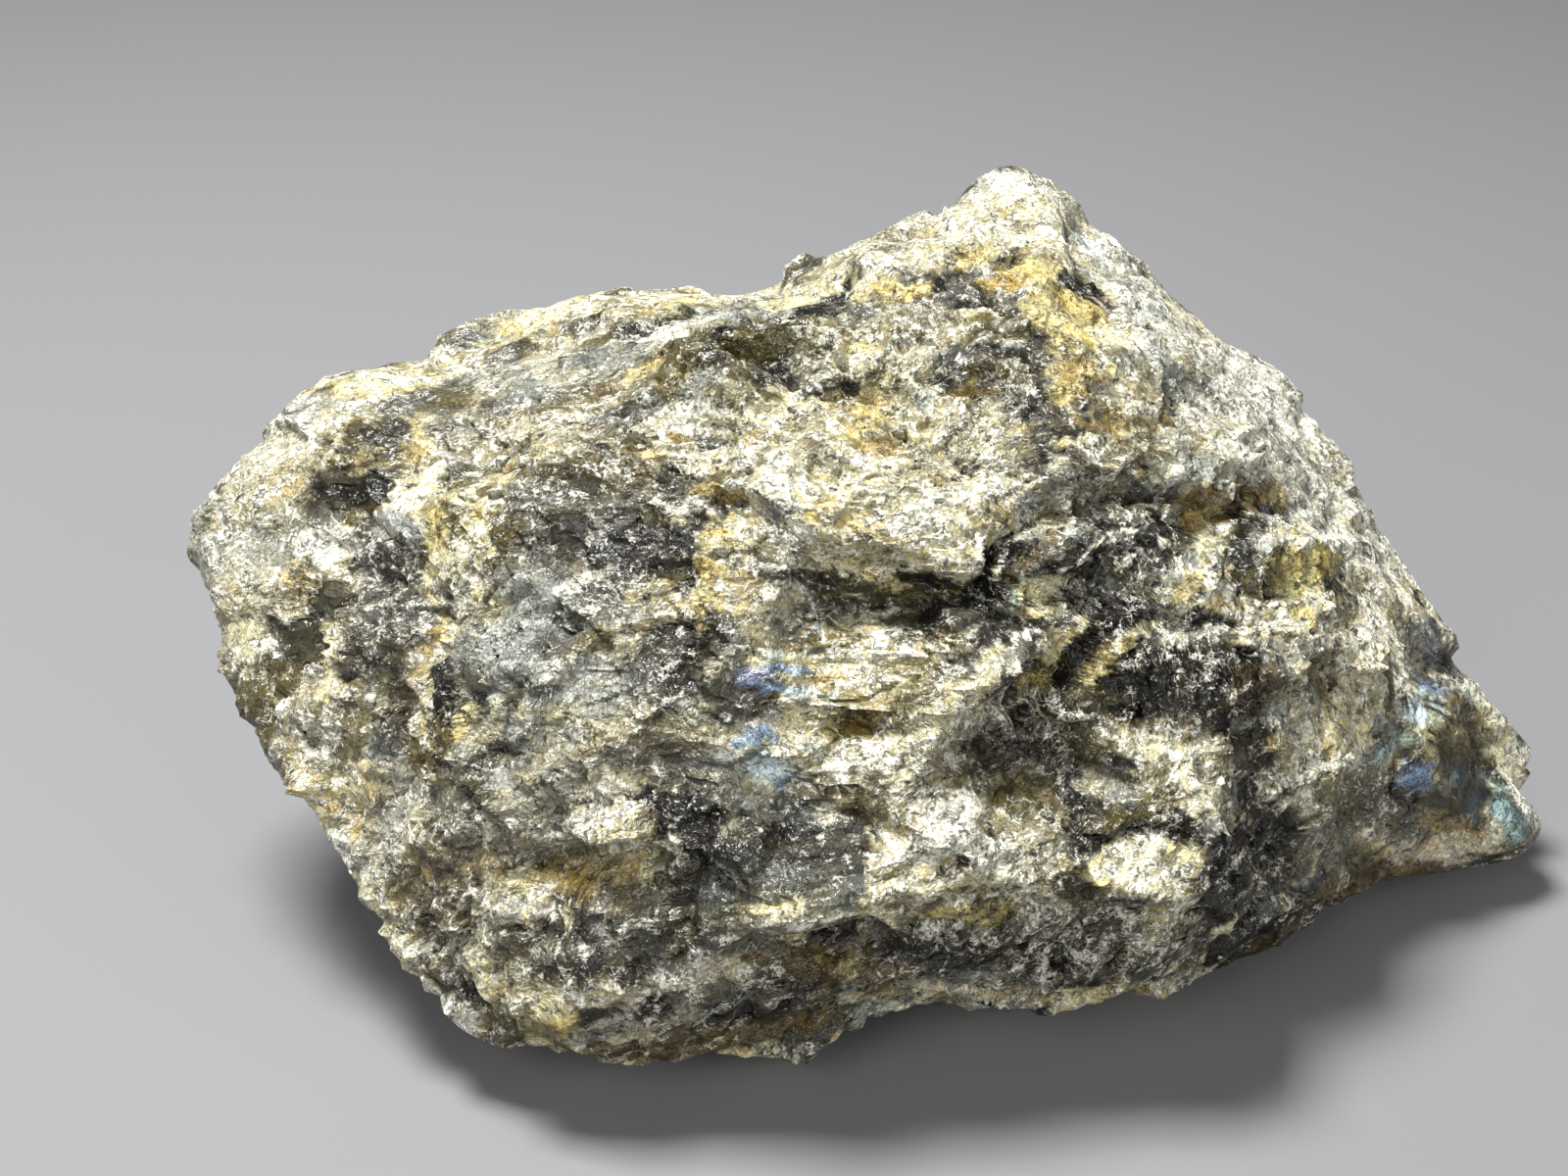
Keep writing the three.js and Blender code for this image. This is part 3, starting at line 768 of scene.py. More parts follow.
# Tones of the crystals that show where no patch lies, with the share of the surface each takes.
MOSAIC = [
    ("black", 0.2),
    ("slate", 0.2),
    ("olive", 0.14),
    ("haze", 0.12),
    ("grey", 0.1),
    ("tan", 0.1),
    ("straw", 0.05),
    ("cream", 0.09),
]
CRYSTAL = 6.5  # width of a crystal
GRAIN = 0.9  # width of the grains that make the patches' borders angular
FRAYING = 0.3  # how far noise moves the patches' borders, as a share of their half width
NOSE_ROOT = (1400, 1430)  # where, across the picture, the clean breaks of the nose begin
RIDGE_WIDTHS = (0.5, 0.45)  # how far the crushing reaches from the ridges
RIDGE_CRUSH = 0.22  # how much more the ridges are crushed
BULGE_CRUSH = 0.16  # how much more the knobs are crushed, and the nicks less
KNOB = 0.12  # height of a knob that is crushed in full

# ---- Finish of the broken glass ----------------------------------------------------------------

# Widths of the facets in the material, from the widest to the sparkling grains.
PANE_WIDTH = 3.2
BLOCK_WIDTH = 1.5
CHIP_WIDTH = 0.6
GRIT_WIDTH = 0.16
BEND_WIDTH = 1 / 0.6  # width of the noise that bends them
LAYERING = 0.9  # scale of the places that follow the layers

# Colours, some of which tint or brighten what lies under them.
COOL_GLASS = (0.98, 0.99, 1.02, 1)
WARM_GLASS = (1.12, 1.0, 0.74, 1)
DARK_DUST = (0.2, 0.175, 0.105, 1)
PALE_DUST = (0.46, 0.43, 0.325, 1)
# Pale lines on the facets' edges: partly crushed powder, partly painted highlight.
CRUSH_AND_HIGHLIGHT_COLOUR = (0.64, 0.62, 0.53, 1)
DULL_GRAIN = (0.6, 0.61, 0.6, 1)
BRIGHT_GRAIN = (1.4, 1.42, 1.4, 1)
# Near black for the painted shade in thin cracks.
CRACK_SHADE_COLOUR = (0.012, 0.01, 0.006, 1)
FELDSPAR_IOR = 1.56

# ---- Floor and lights --------------------------------------------------------------------------

FLOOR_SIZE = 6  # in metres
FLOOR_COLOUR = (0.18, 0.18, 0.184, 1)
SKY_COLOUR = (0.75, 0.77, 0.8, 1)
SKY_STRENGTH = 0.17
LIT_POINT = (0, 0, 0.02)  # where the lights point, in metres
# Soft lights: name, place and width in metres, and watts.
LIGHTS = [
    ("overhead", (-0.12, 0.02, 0.45), 0.14, 5.0),
    ("front_fill", (-0.3, -0.45, 0.35), 0.4, 1.9),
    ("side_fill", (0.4, -0.35, 0.2), 0.4, 1.6),
]


# ---- Frames ------------------------------------------------------------------------------------


def from_face(points):
    """Points across, up the face and out of it, as across, back and up in the solid's own frame."""
    across, up, out = np.moveaxis(np.asarray(points, float), -1, 0)
    back = up * math.sin(FACE_RISE) - out * math.cos(FACE_RISE)
    height = up * math.cos(FACE_RISE) + out * math.sin(FACE_RISE) + HEART_HEIGHT
    return np.stack([across, back, height], -1)


OUTWARD = from_face((0, 0, 1)) - from_face((0, 0, 0))  # direction out of the broad face


def to_face(points):
    """The other way round."""
    across, back, height = np.moveaxis(points, -1, 0)
    height = height - HEART_HEIGHT
    up = back * math.sin(FACE_RISE) + height * math.cos(FACE_RISE)
    out = height * math.sin(FACE_RISE) - back * math.cos(FACE_RISE)
    return np.stack([across, up, out], -1)


def metres(points):
    """Millimetres in the solid's own frame as metres in the shared frame."""
    return (np.asarray(points) - MIDDLE) * MM


def smooth_step(values, low, high):
    """0 below low, 1 above high, and t^2 (3 - 2t) between, with t the share of the way."""
    share = np.clip((values - low) / (high - low), 0, 1)
    return share * share * (3 - 2 * share)


# ---- Randomness that depends only on place -----------------------------------------------------


def lattice_number(i, j, k, seed):
    """A number from 0 to 1 for a lattice cell: the fraction of 43758.5453 sin(i, j, k and seed)."""
    wave = np.sin(i * 127.1 + j * 311.7 + k * 74.7 + seed * 53.3) * 43758.5453
    return wave - np.floor(wave)


def noise(points, size, seed):
    """Smooth noise from -1 to 1: lattice numbers blended by u = f^2 (3 - 2f) along each side."""
    low = np.floor(points / size)
    share = points / size - low
    share = share * share * (3 - 2 * share)
    total = np.zeros(len(points))
    for corner in itertools.product((0, 1), repeat=3):
        weight = np.prod(np.where(corner, share, 1 - share), axis=1)
        total += weight * lattice_number(*(low + corner).T, seed)
    return 2 * total - 1


def rough_noise(points, size, seed, octaves=3):
    """Noise summed over octaves, each half as wide and half as high as the one before."""
    return sum(noise(points, size / 2**n, seed + n) / 2**n for n in range(octaves))


def neighbour_cells(points, cell, seed):
    """For each of the 27 lattice cells around: p - c to its jittered centre c, and its lattice place."""
    home = np.floor(points / cell)
    for step in itertools.product((-1, 0, 1), repeat=3):
        place = (home + step).T
        jitter = np.stack([lattice_number(*place, seed * 10 + n) for n in range(3)], 1)
        yield points - (home + step + jitter) * cell, place


def chips(points, cell, tilt, meeting, seed):
    """Height of a chipped surface, and the gap to the next facet, which is 0 where two meet.

    height = meeting * the least, over the cells c around, of
             2 tilt (p - c).s + 8 cell max(0, |p - c| / cell - 0.85)^2
    with s the slope of the cell, from -0.5 to 0.5 each way.
    """
    lowest = np.full(len(points), np.inf)
    second = np.full(len(points), np.inf)
    for away, place in neighbour_cells(points, cell, seed):
        slope = np.stack([lattice_number(*place, seed * 10 + n) - 0.5 for n in (3, 4, 5)], 1)
        wall = 8 * cell * np.maximum(0, np.linalg.norm(away, axis=1) / cell - 0.85) ** 2
        height = 2 * tilt * np.sum(away * slope, axis=1) + wall
        second = np.minimum(second, np.maximum(lowest, height))
        lowest = np.minimum(lowest, height)
    limit = CHIP_LIMIT * cell
    return np.clip(lowest, -limit, limit) * meeting, (second - lowest) / tilt


def crystals(points, cell, seed):
    """For each point the way to it from the centre of its crystal, the nearest one, and its place."""
    nearest = np.full(len(points), np.inf)
    from_centre = np.zeros_like(points)
    lattice = np.zeros_like(points)
    for away, place in neighbour_cells(points, cell, seed):
        distance = np.sum(away * away, axis=1)
        closer = distance < nearest
        nearest[closer] = distance[closer]
        from_centre[closer] = away[closer]
        lattice[closer] = place.T[closer]
    return from_centre, lattice.T


def ragged(points, reach, size, seed):
    """The points shifted by rough noise of that reach and size, which makes borders ragged."""
    shift = [rough_noise(points, size, seed + 10 * axis) for axis in range(3)]
    return points + reach * np.stack(shift, 1)


# ---- Form of the stone -------------------------------------------------------------------------


def ball_grids(squares):
    """Directions and squares of a ball made of six grids, with no direction twice where grids meet.

    A grid's points lie at the tangents of evenly spaced angles, which keeps its squares even.
    Directions are stretched by GRID_STRETCH along the axes, and each direction d then leans to
    d + FACE_FINENESS f, where f points out of the broad face.
    """
    side = np.tan(np.linspace(-1, 1, squares + 1) * math.pi / 4)
    first, second = np.meshgrid(side, side, indexing="ij")
    number = np.arange((squares + 1) ** 2).reshape(squares + 1, squares + 1)
    corners = [number[:-1, :-1], number[1:, :-1], number[1:, 1:], number[:-1, 1:]]
    tiles = np.stack(corners, -1).reshape(-1, 4)
    points, faces = [], []
    for axis, sign in itertools.product(range(3), (1, -1)):
        grid = np.zeros((squares + 1, squares + 1, 3))
        grid[..., axis] = sign
        grid[..., (axis + 1) % 3] = first * sign
        grid[..., (axis + 2) % 3] = second
        faces.append(tiles + len(points) * number.size)
        points.append(grid.reshape(-1, 3))
    points = np.concatenate(points)
    points /= np.linalg.norm(points, axis=1, keepdims=True)
    kept, found = np.unique(np.round(points, 6), axis=0, return_index=True, return_inverse=True)[1:]
    directions = points[kept] * GRID_STRETCH
    directions /= np.linalg.norm(directions, axis=1, keepdims=True)
    directions += FACE_FINENESS * OUTWARD
    directions /= np.linalg.norm(directions, axis=1, keepdims=True)
    return directions, found.reshape(-1)[np.concatenate(faces)]


def cage_shares():
    """One matrix for each flat facet of the landmarks' cage, to split a direction between corners.

    Facets join landmarks that are neighbours as seen from the heart: the hull of their directions.
    """
    landmarks = np.concatenate([from_face(FACE_LANDMARKS), np.array(BACK_LANDMARKS, float)]) - HEART
    hull = bmesh.new()
    for corner in landmarks:
        hull.verts.new(corner / np.linalg.norm(corner))
    hull.verts.index_update()
    bmesh.ops.convex_hull(hull, input=list(hull.verts))
    facets = [[vert.index for vert in face.verts] for face in hull.faces]
    hull.free()
    return np.linalg.inv(np.swapaxes(landmarks[np.array(facets)], 1, 2))


def cage_radius(directions, shares):
    """Distance from the heart to the cage: |d| over the summed shares of the facet d crosses."""
    radius = np.empty(len(directions))
    table = shares.reshape(-1, 3).T.astype(np.float32)
    for start in range(0, len(directions), BATCH):
        part = directions[start : start + BATCH]
        split = (part.astype(np.float32) @ table).reshape(len(part), -1, 3)
        crossed = split.min(2).argmax(1)
        total = split[np.arange(len(part)), crossed].sum(1)
        radius[start : start + BATCH] = np.linalg.norm(part, axis=1) / total
    return radius


def rounded_radius(directions):
    """The cage's radius averaged with six neighbours, which rounds its edges."""
    shares = cage_shares()
    steps = [np.zeros(3)] + [sign * EDGE_ROUNDING * axis for axis in np.eye(3) for sign in (1, -1)]
    return np.mean([cage_radius(directions + step, shares) for step in steps], 0)


def feature_height(points, chip_height):
    """Sum of the hollows and swellings: each its rise times 1.4 (1 - reach), held between 0 and 1.

    The reach is 1 at the outline, and the chips of the broad face make that outline uneven.
    """
    across, up, out = to_face(points).T
    total = np.zeros(len(points))
    for x, y, z, half_length, half_width, turn, rise in FACE_FEATURES:
        along, aside = turned(across - x, up - y, turn)
        reach = np.sqrt(
            (along / half_length) ** 2 + (aside / half_width) ** 2 + ((out - z) / FEATURE_REACH) ** 2
        )
        total += rise * np.clip(FEATURE_STEEPNESS * (1 - reach - RAGGEDNESS * chip_height), 0, 1)
    for *middle, radius, rise in BACK_FEATURES:
        reach = np.linalg.norm(points - middle, axis=1) / radius
        total += rise * np.clip(FEATURE_STEEPNESS * (1 - reach), 0, 1)
    return total


def turned(x, y, degrees):
    """Distances along and aside of a direction at that many degrees from level."""
    angle = math.radians(degrees)
    return x * math.cos(angle) + y * math.sin(angle), y * math.cos(angle) - x * math.sin(angle)


def solid_surface(directions):
    """The surface of the solid: cage, chips, hollows and swellings. Gives the chips' gaps as well.

    The finest chips are worn down where the surface turns away from the broad face.
    """
    base = directions * rounded_radius(directions)[:, None] + HEART
    layers = [chips(base, *layer) for layer in CHIPS]
    outward = directions @ OUTWARD
    worn = 1 - RIM_WEAR * (1 - smooth_step(outward, 0.1, 0.5))
    chip_height = layers[0][0] + layers[1][0] + layers[2][0] * worn
    relief = chip_height + feature_height(base, chip_height)
    return base + directions * relief[:, None], [gap for _, gap in layers]


def block_height(points, layers, width, squeeze, tilt, step, seed):
    """Height of a surface broken into blocks, each with a flat top at its own level and slope.

    height = 2 tilt (p - c).s + step (n - 0.5), with c the block's centre, s its slope from -0.5 to
    0.5 each way and n its number from 0 to 1.
    """
    place = points.copy()
    place[:, 0] += squeeze * layers
    away, lattice = crystals(ragged(place, 0.25 * width, 0.8 * width, seed), width, seed)
    slope = np.stack([lattice_number(*lattice, seed * 10 + n) - 0.5 for n in (3, 4, 5)], 1)
    level = lattice_number(*lattice, seed * 10 + 6) - 0.5
    return 2 * tilt * np.sum(away * slope, axis=1) + step * level


def stone_surface(broad, normals, directions, tone):
    """The solid's surface with blocks broken into it and its pale crusts standing proud.

    The fine relief is worn off the rims, and fades near the floor and where the heart sees it aslant.
    A point that would lie below the floor is drawn towards the heart until it lies on it.
    """
    layers = layering(broad)
    fine = sum(block_height(broad, layers, *block) for block in BLOCKS)
    fine += CRUST_HEIGHT * np.minimum(tone[:, :3].mean(1) / 0.3, 1)
    square = np.sum(normals * directions, axis=1)
    outward = normals @ OUTWARD
    kept = 1 - RIM_WEAR * (1 - smooth_step(outward, 0.1, 0.6))
    kept *= smooth_step(broad[:, 2], 0, 1.5) * smooth_step(square, 0.2, 0.8)
    points = broad + directions * (fine * kept)[:, None]
    low = points[:, 2] < 0
    points[low] = directions[low] * (HEART[2] / -directions[low, 2:3]) + HEART
    points[low, 2] = 0
    return points


def vertex_normals(points, faces):
    """Unit normals: the sum of the faces' normals around each vertex."""
    across = points[faces[:, 2]] - points[faces[:, 0]]
    along = points[faces[:, 3]] - points[faces[:, 1]]
    face_normals = np.cross(across, along)
    corners = faces.reshape(-1)
    spread = np.repeat(face_normals, 4, axis=0)
    total = np.stack([np.bincount(corners, spread[:, n], len(points)) for n in range(3)], 1)
    return total / np.maximum(np.linalg.norm(total, axis=1, keepdims=True), 1e-9)


def mean_of_neighbours(values, faces):
    """Values averaged over the corners of the squares around each vertex."""
    corners = faces.reshape(-1)
    count = np.bincount(corners, minlength=len(values))
    columns = values.reshape(len(values), -1)
    means = [np.repeat(column[faces].mean(1), 4) for column in columns.T]
    total = np.stack([np.bincount(corners, mean, len(values)) for mean in means], 1)
    return (total / count[:, None]).reshape(values.shape)


def layering(points):
    """The coordinate, in mm, across the stone's thin layers, which wrap round the broad face.

    t = r + 0.7 s exp(-(r / 14)^2) + folds + out / 4, with r = |((a - 4) / 1.5, u + 4)|, a across and
    u up the face, and s the distance aside of a line that rises 35 degrees to the right.
    """
    across, up, out = to_face(points).T
    ring = np.hypot((across - 4) / 1.5, up + 4)
    slant = turned(across, up, 35)[1] * 0.7 * np.exp(-((ring / 14) ** 2))
    folds = 3 * noise(points, 15, seed=71) + 1.2 * noise(points, 6, seed=72)
    return ring + slant + folds + 0.25 * out


# ---- Markings ----------------------------------------------------------------------------------


def tone_table(names):
    """Colour, crush and flash of the named tones, one row each."""
    return np.array([[*TONES[name][0], *TONES[name][1:]] for name in names])


def mosaic(points):
    """Tone of the crystals all over the stone, with ragged borders."""
    place = crystals(ragged(points, 1.2, 3, seed=21), CRYSTAL, seed=5)[1]
    number = lattice_number(*place, seed=56)
    ends = np.cumsum([share for _, share in MOSAIC])
    chosen = np.minimum(np.searchsorted(ends / ends[-1], number), len(MOSAIC) - 1)
    return tone_table([name for name, _ in MOSAIC])[chosen]


def in_picture(points):
    """Where the camera sees the points: across and down its picture."""
    across, up, out = to_face(points).T
    scale = PICTURE_SCALE * VIEW_DISTANCE / (VIEW_DISTANCE - out)
    return PICTURE[0] / 2 + (across - AIM[0]) * scale, PICTURE[1] / 2 - (up - AIM[1]) * scale


def painted(points, normals):
    """Tone of every point: the mosaic, with the patches laid over it where it faces the camera.

    A patch has its full strength inside 0.85 of its ellipse and none outside 1.1 of it.
    """
    tone = mosaic(points)
    shifted = ragged(points, 0.4, 2.4, seed=81)
    across, down = in_picture(shifted - 0.6 * crystals(shifted, GRAIN, seed=7)[0])
    frayed = FRAYING * rough_noise(points, 1.3, seed=101, octaves=2)
    frayed *= 1 - 0.6 * smooth_step(across, *NOSE_ROOT)
    sight = from_face((*AIM, VIEW_DISTANCE)) - points
    facing = np.sum(sight * normals, axis=1) / np.linalg.norm(sight, axis=1)
    front = smooth_step(facing, -0.2, 0)
    rows = tone_table([patch[0] for patch in PATCHES])
    for row, (_, x, y, half_length, half_width, turn, strength) in zip(rows, PATCHES):
        along, aside = turned(across - x, y - down, turn)
        reach = np.hypot(along / half_length, aside / half_width) + frayed
        share = (strength * front * (1 - smooth_step(reach, 0.85, 1.1)))[:, None]
        tone = tone + share * (row - tone)
    return tone


def crushed_edges(gaps, points):
    """How much the edges are crushed, from 0 to 1: exp(-gap / width), faded by noise along them.

    The widest and the finest chips meet in ridges, which crush. The others meet in creases.
    """
    ridges = (gaps[0], gaps[2])
    lines = [np.exp(-gap / width) for gap, width in zip(ridges, RIDGE_WIDTHS)]
    fade = smooth_step(rough_noise(points, 4, seed=111), -0.5, 0.5)
    return np.max(lines, axis=0) * fade


# ---- Materials ---------------------------------------------------------------------------------


class Signal:
    """A socket of a material's node tree, used in sums like a number."""

    def __init__(self, tree, socket=None):
        self.tree = tree
        self.socket = socket

    def node(self, kind, inputs, output=0, **settings):
        """Adds a node with those inputs, which are sockets or values, and gives one of its outputs."""
        made = self.tree.nodes.new(kind)
        for name, value in settings.items():
            setattr(made, name, value)
        for key, value in inputs.items():
            if isinstance(value, Signal):
                self.tree.links.new(value.socket, made.inputs[key])
            else:
                made.inputs[key].default_value = value
        return Signal(self.tree, made.outputs[output])

    def math(self, operation, *others):
        return self.node("ShaderNodeMath", dict(enumerate((self, *others))), operation=operation)

    def vector(self, operation, other, output=0):
        return self.node("ShaderNodeVectorMath", {0: self, 1: other}, output, operation=operation)

    def scaled(self, factor):
        """This vector or colour times a number or a signal."""
        return self.node("ShaderNodeVectorMath", {0: self, "Scale": factor}, operation="SCALE")

    def __add__(self, other):
        return self.math("ADD", other)

    def __radd__(self, other):
        return self.math("ADD", other)

    def __sub__(self, other):
        return self.math("SUBTRACT", other)

    def __rsub__(self, other):
        return self.math("MULTIPLY_ADD", -1.0, other)

    def __mul__(self, other):
        return self.math("MULTIPLY", other)

    def __rmul__(self, other):
        return self.math("MULTIPLY", other)

    def between(self, low, high):
        """0 below low, 1 above high, and smooth between."""
        settings = {"Value": self, "From Min": low, "From Max": high}
        return self.node("ShaderNodeMapRange", settings, interpolation_type="SMOOTHSTEP")

    def blend(self, first, second):
        """The colours first and second blended, with this signal as the share of the second."""
        return self.node("ShaderNodeMix", {0: self, 6: first, 7: second}, 2, data_type="RGBA")


Facets = namedtuple("Facets", "height number edge")


def facets(place, size):
    """Flat facets: each cell of that size slopes its own way, and has a number from 0 to 1.

    height = (colour - 0.5).(p - c), with c the cell's centre. The edge is the distance to the
    nearest border, in mm.
    """
    inputs = {"Vector": place, "Scale": 1 / size}
    colour = place.node("ShaderNodeTexVoronoi", inputs, "Color")
    centre = place.node("ShaderNodeTexVoronoi", inputs, "Position")
    edge = place.node("ShaderNodeTexVoronoi", inputs, "Distance", feature="DISTANCE_TO_EDGE") * size
    slope = colour.vector("SUBTRACT", (0.5, 0.5, 0.5))
    height = slope.vector("DOT_PRODUCT", place.vector("SUBTRACT", centre), "Value")
    return Facets(height, colour.vector("DOT_PRODUCT", (0.4, 0.35, 0.25), "Value"), edge)


def cloud(place, size, detail, roughness=0.5, output=0):
    """Noise around 0.5, with features of that size and finer, as one number or as a colour."""
    inputs = {"Vector": place, "Scale": 1 / size, "Detail": detail, "Roughness": roughness}
    return place.node("ShaderNodeTexNoise", inputs, output)


class Breakage:
    """What the stone is broken into at each point, and how far it is crushed there.

    bent is the place in mm, shifted by broad noise. along is bent with the layering added to its X,
    times LAYERING, which squeezes whatever is made with it across the layers.
    """

    def __init__(self, start):
        place = start.node("ShaderNodeTexCoord", {}, "Object").scaled(1 / MM)
        self.bent = place.vector("ADD", cloud(place, BEND_WIDTH, 2.0, output="Color"))
        across = start.node("ShaderNodeCombineXYZ", {"X": stored(start, "layers") * LAYERING})
        self.along = self.bent.scaled(LAYERING).vector("ADD", across)
        swirl = cloud(self.bent, 1.0, 3.0, 0.65, "Color")
        split = self.along.vector("ADD", swirl.scaled(0.7))
        self.pane = facets(self.bent.vector("ADD", swirl.scaled(1.6)), PANE_WIDTH)
        self.block = facets(split, BLOCK_WIDTH)
        self.chip = facets(split, CHIP_WIDTH)
        self.grit = facets(self.bent, GRIT_WIDTH)
        self.speck = cloud(self.bent, 1.2, 6.0, 0.75) - 0.5
        self.patchy = cloud(self.bent, 4.0, 3.0, 0.6) - 0.5
        crushed = stored(start, "crush") + self.patchy * 0.5
        self.crushed = crushed.math("MAXIMUM", -0.5).math("MINIMUM", 0.95)
        self.rough = self.crushed.between(-0.4, 0.1)
        self.dust = self.crushed.math("MAXIMUM", 0.0)


def stored(start, name, output="Fac"):
    """A value that is stored on the points of the mesh."""
    return start.node("ShaderNodeAttribute", {}, output, attribute_name=name)


def crumbs(stone):
    """Where pale crumbs lie: thin lines where little is crushed, filled in where much is.

    They lie where |n - 0.5| < 0.3 dust^2 - 0.03 + a speckle, with n noise drawn out along the
    layers. Clean glass has none.
    """
    web = (cloud(stone.along, 1.6, 4.0, 0.65) - 0.5).math("ABSOLUTE")
    reach = stone.dust * stone.dust * 0.3 - 0.03 + stone.speck * 0.35
    return (reach - web).between(-0.015, 0.015) * stone.rough


def crush_and_highlight_lines(stone):
    """Pale lines along stretches of the facets' borders, partly crushed powder and partly painted
    highlight on the edges, and loose grains.

    A line is as wide as the crushing, the patchy noise and the speckle there make it.
    """
    crushed, patchy, speck = stone.crushed, stone.patchy, stone.speck
    pane = (patchy * 0.4 + crushed * 0.15 - 0.04 + speck * 0.6 - stone.pane.edge).between(-0.03, 0.02)
    block = (patchy * 0.25 + crushed * 0.17 - 0.06 + speck * 0.8 - stone.block.edge).between(-0.03, 0.01)
    chip = (crushed * 0.17 - 0.09 + speck * 0.8 - stone.chip.edge).between(-0.02, 0.01)
    loose = crushed * 0.25 + speck * 0.8 + patchy * 0.2 + stone.grit.number * 0.9 - 0.87
    lines = pane.math("MAXIMUM", block).math("MAXIMUM", chip)
    return lines.math("MAXIMUM", loose.between(0.0, 0.1))


def crack_shade(stone):
    """Painted shade in thin cracks, where a noise crosses 0.47."""
    crack = (cloud(stone.bent, 1.4, 3.0, 0.6) - 0.47).math("ABSOLUTE")
    return (0.025 - crack + stone.speck * 0.25).between(0.0, 0.03)


def glass_colour(stone, tone):
    """The tone, brighter or darker from facet to facet, and warmer or cooler in streaks."""
    shine = stone.pane.number * 0.8 + stone.block.number * 1.0 + stone.chip.number * 0.6 - 0.2
    warmth = cloud(stone.along, 2.4, 3.0, 0.6).between(0.42, 0.62)
    return tone.scaled(shine).vector("MULTIPLY", warmth.blend(COOL_GLASS, WARM_GLASS))


def dust_colour(stone, tone, flash):
    """Crushed feldspar of its own grey in each chip, half tinted with the tone."""
    grey = (stone.chip.number * 0.6 + stone.block.number * 0.4).between(0.2, 0.8)
    return (flash * 0.3 + 0.5).blend(grey.blend(DARK_DUST, PALE_DUST), tone)


def stone_material():
    """Glassy crystals in their tones, under crumbs, pale lines that are partly painted highlight,
    sparkling grains and painted shade in thin cracks.
    """
    material = bpy.data.materials.new("labradorite")
    material.use_nodes = True
    tree = material.node_tree
    shader = tree.nodes["Principled BSDF"]
    start = Signal(tree)
    tone = stored(start, "tone", "Color")
    flash = stored(start, "flash")
    stone = Breakage(start)
    crumb = crumbs(stone)
    line = crush_and_highlight_lines(stone)

    colour = crumb.blend(glass_colour(stone, tone), dust_colour(stone, tone, flash))
    # Pale lines on the edges, partly crushed powder and partly painted highlight.
    colour = (line * (stone.dust * 0.6 + 0.45)).blend(colour, CRUSH_AND_HIGHLIGHT_COLOUR)
    sparkle = stone.grit.number.between(0.15, 0.85)
    colour = colour.vector("MULTIPLY", sparkle.blend(DULL_GRAIN, BRIGHT_GRAIN))
    # Painted shade in thin cracks.
    colour = (crack_shade(stone) * 0.8).blend(colour, CRACK_SHADE_COLOUR)
    roughness = crumb.math("MAXIMUM", line) * 0.3 + stone.chip.number * 0.15 + 0.2
    height = stone.pane.height * 0.7 + stone.block.height * 0.9 + stone.chip.height * 0.6
    height = height * (stone.rough * 0.75 + 0.25)
    bump = height.node("ShaderNodeBump", {"Height": height, "Distance": MM, "Strength": 1.0}, "Normal")

    tree.links.new(colour.socket, shader.inputs["Base Color"])
    tree.links.new(roughness.socket, shader.inputs["Roughness"])
    tree.links.new((flash * 0.4).socket, shader.inputs["Metallic"])
    tree.links.new(bump.socket, shader.inputs["Normal"])
    shader.inputs["IOR"].default_value = FELDSPAR_IOR
    shader.inputs["Specular IOR Level"].default_value = 0.35
    return material


# ---- The stone ---------------------------------------------------------------------------------


def write_attribute(mesh, name, kind, field, values):
    """Stores a value on each point of the mesh."""
    attribute = mesh.attributes.new(name, kind, "POINT")
    attribute.data.foreach_set(field, np.ascontiguousarray(values, np.float32).reshape(-1))


def crushing(points, faces, gaps, own):
    """How far the stone is crushed: its tone's own share, with more on ridges and knobs.

    crush = own + (0.22 ridge + 0.16 bulge) (0.4 + 0.6 own), where the bulge is the height above the
    mean of the points around, from -1 in a nick to 1 on a knob.
    """
    normals = vertex_normals(points, faces)
    mean = mean_of_neighbours(mean_of_neighbours(points, faces), faces)
    bulge = np.clip(np.sum((points - mean) * normals, axis=1) / KNOB, -1, 1)
    edges = crushed_edges(gaps, points)
    return own + (RIDGE_CRUSH * edges + BULGE_CRUSH * bulge) * (0.4 + 0.6 * own)


def make_stone():
    """The visible stone, with its tone, crush, layers and flash stored on its points."""
    directions, faces = ball_grids(GRID)
    broad, gaps = solid_surface(directions)
    normals = vertex_normals(broad, faces)
    tone = painted(broad, normals)
    points = stone_surface(broad, normals, directions, tone)

    mesh = bpy.data.meshes.new("labradorite_surface")
    mesh.from_pydata(metres(points), [], faces)
    mesh.update()
    opaque = np.ones((len(points), 1))
    write_attribute(mesh, "tone", "FLOAT_COLOR", "color", np.hstack([tone[:, :3], opaque]))
    write_attribute(mesh, "crush", "FLOAT", "value", crushing(points, faces, gaps, tone[:, 3]))
    write_attribute(mesh, "layers", "FLOAT", "value", layering(points))
    write_attribute(mesh, "flash", "FLOAT", "value", tone[:, 4])
    mesh.materials.append(stone_material())
    mesh.polygons.foreach_set("use_smooth", np.ones(len(faces), bool))
    mesh.set_sharp_from_angle(angle=SHARP_ANGLE)
    stone = bpy.data.objects.new("labradorite_surface", mesh)
    bpy.context.scene.collection.objects.link(stone)
    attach(stone, "root")
    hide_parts("labradorite")


# ---- Stage -------------------------------------------------------------------------------------


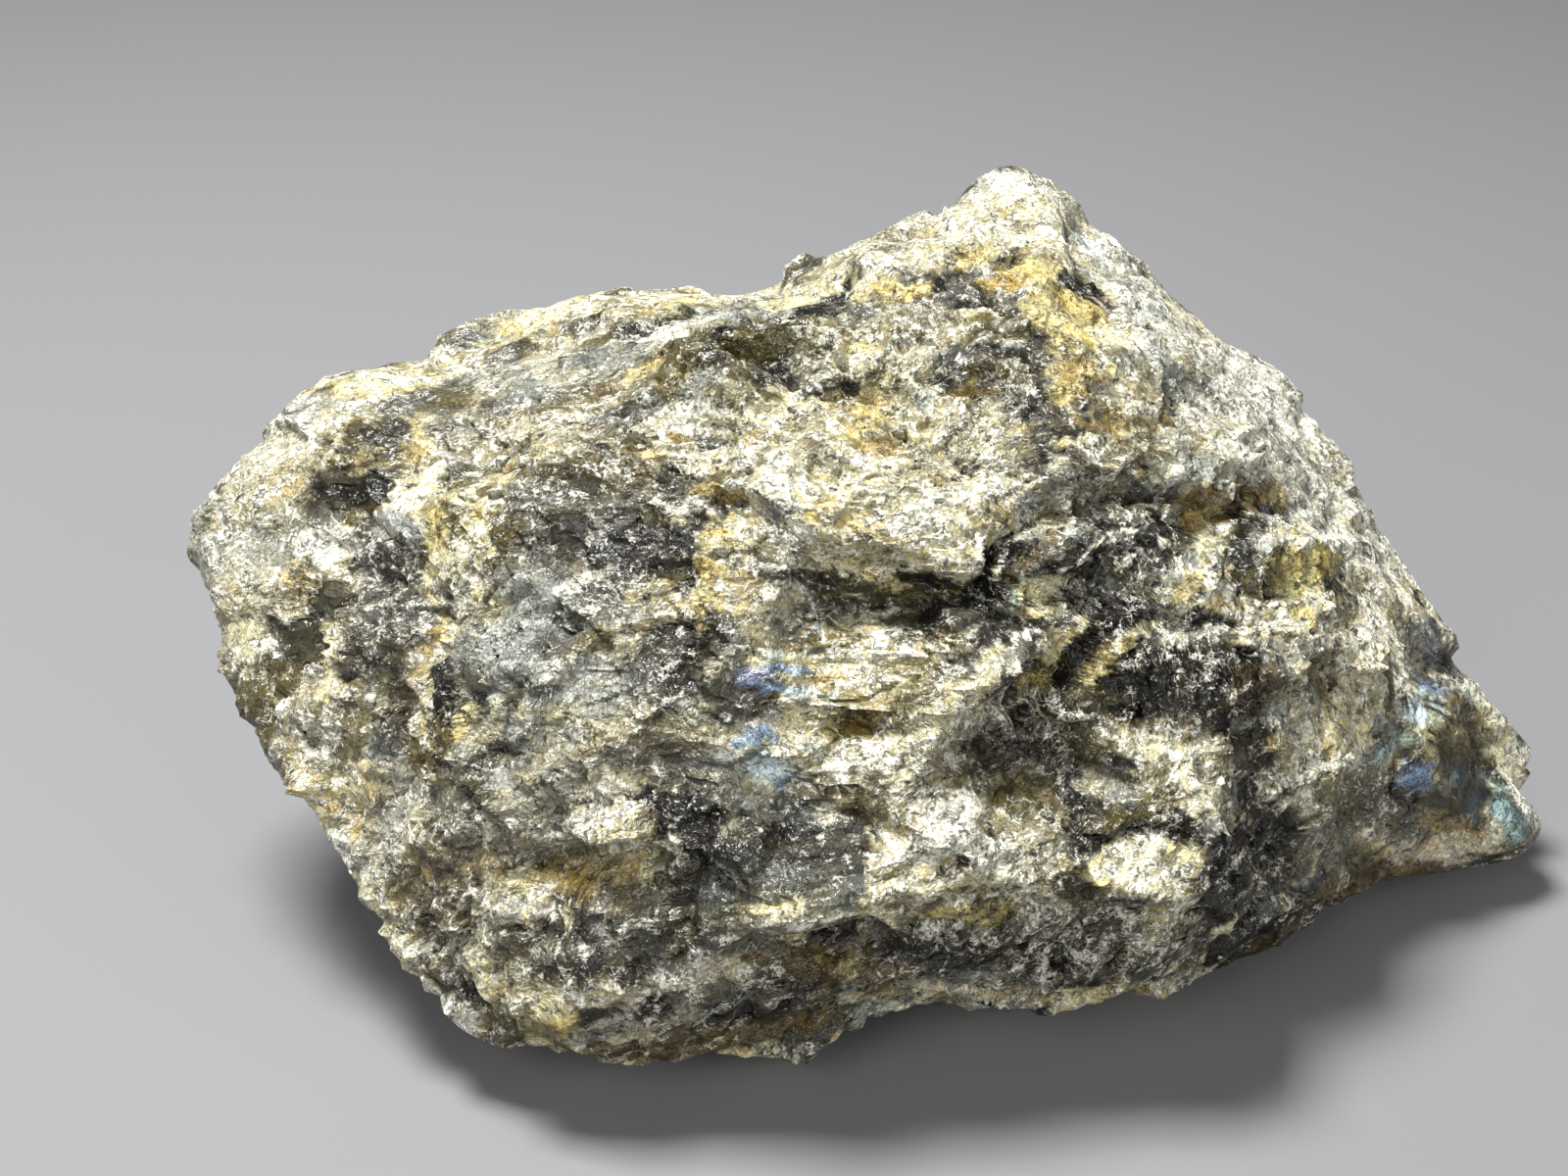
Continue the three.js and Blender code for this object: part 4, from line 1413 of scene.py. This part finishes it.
def make_floor():
    """A plain pale floor that reaches far behind the stone."""
    bpy.ops.mesh.primitive_plane_add(size=FLOOR_SIZE)
    floor = bpy.context.object
    floor.name = "floor"
    material = bpy.data.materials.new("floor")
    material.use_nodes = True
    shader = material.node_tree.nodes["Principled BSDF"]
    shader.inputs["Base Color"].default_value = FLOOR_COLOUR
    shader.inputs["Roughness"].default_value = 0.8
    floor.data.materials.append(material)


def aim(thing, place, target):
    """Stands thing at place, in metres, and turns its -Z axis to the target."""
    thing.location = place
    thing.rotation_euler = (Vector(target) - Vector(place)).to_track_quat("-Z", "Y").to_euler()


def make_light(name, place, width, watts):
    light = bpy.data.lights.new(name, "AREA")
    light.size = width
    light.energy = watts
    lamp = bpy.data.objects.new(name, light)
    bpy.context.scene.collection.objects.link(lamp)
    aim(lamp, place, LIT_POINT)


def make_lights():
    """A strong soft light above the stone, and two broad weak ones in front to fill the shadows."""
    for light in LIGHTS:
        make_light(*light)
    world = bpy.data.worlds.new("studio")
    world.use_nodes = True
    sky = world.node_tree.nodes["Background"]
    sky.inputs["Color"].default_value = SKY_COLOUR
    sky.inputs["Strength"].default_value = SKY_STRENGTH
    bpy.context.scene.world = world


def make_camera():
    """Looks square onto the broad face."""
    camera = bpy.data.objects.new("camera", bpy.data.cameras.new("camera"))
    camera.data.sensor_width = FILM_WIDTH
    camera.data.lens = FILM_WIDTH * PICTURE_SCALE * VIEW_DISTANCE / PICTURE[0]
    camera.data.clip_start = 0.01
    bpy.context.scene.collection.objects.link(camera)
    aim(camera, metres(from_face((*AIM, VIEW_DISTANCE))), metres(from_face((*AIM, 0))))
    bpy.context.scene.camera = camera


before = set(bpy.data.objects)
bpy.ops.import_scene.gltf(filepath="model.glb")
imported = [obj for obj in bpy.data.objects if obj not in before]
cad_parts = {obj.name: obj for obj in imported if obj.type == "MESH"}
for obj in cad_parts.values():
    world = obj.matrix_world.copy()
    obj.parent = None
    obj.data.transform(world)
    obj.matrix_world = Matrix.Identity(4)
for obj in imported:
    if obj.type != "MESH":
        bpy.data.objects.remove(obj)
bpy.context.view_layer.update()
make_stone()
make_floor()
make_lights()
make_camera()
bpy.context.scene.view_settings.view_transform = "Standard"
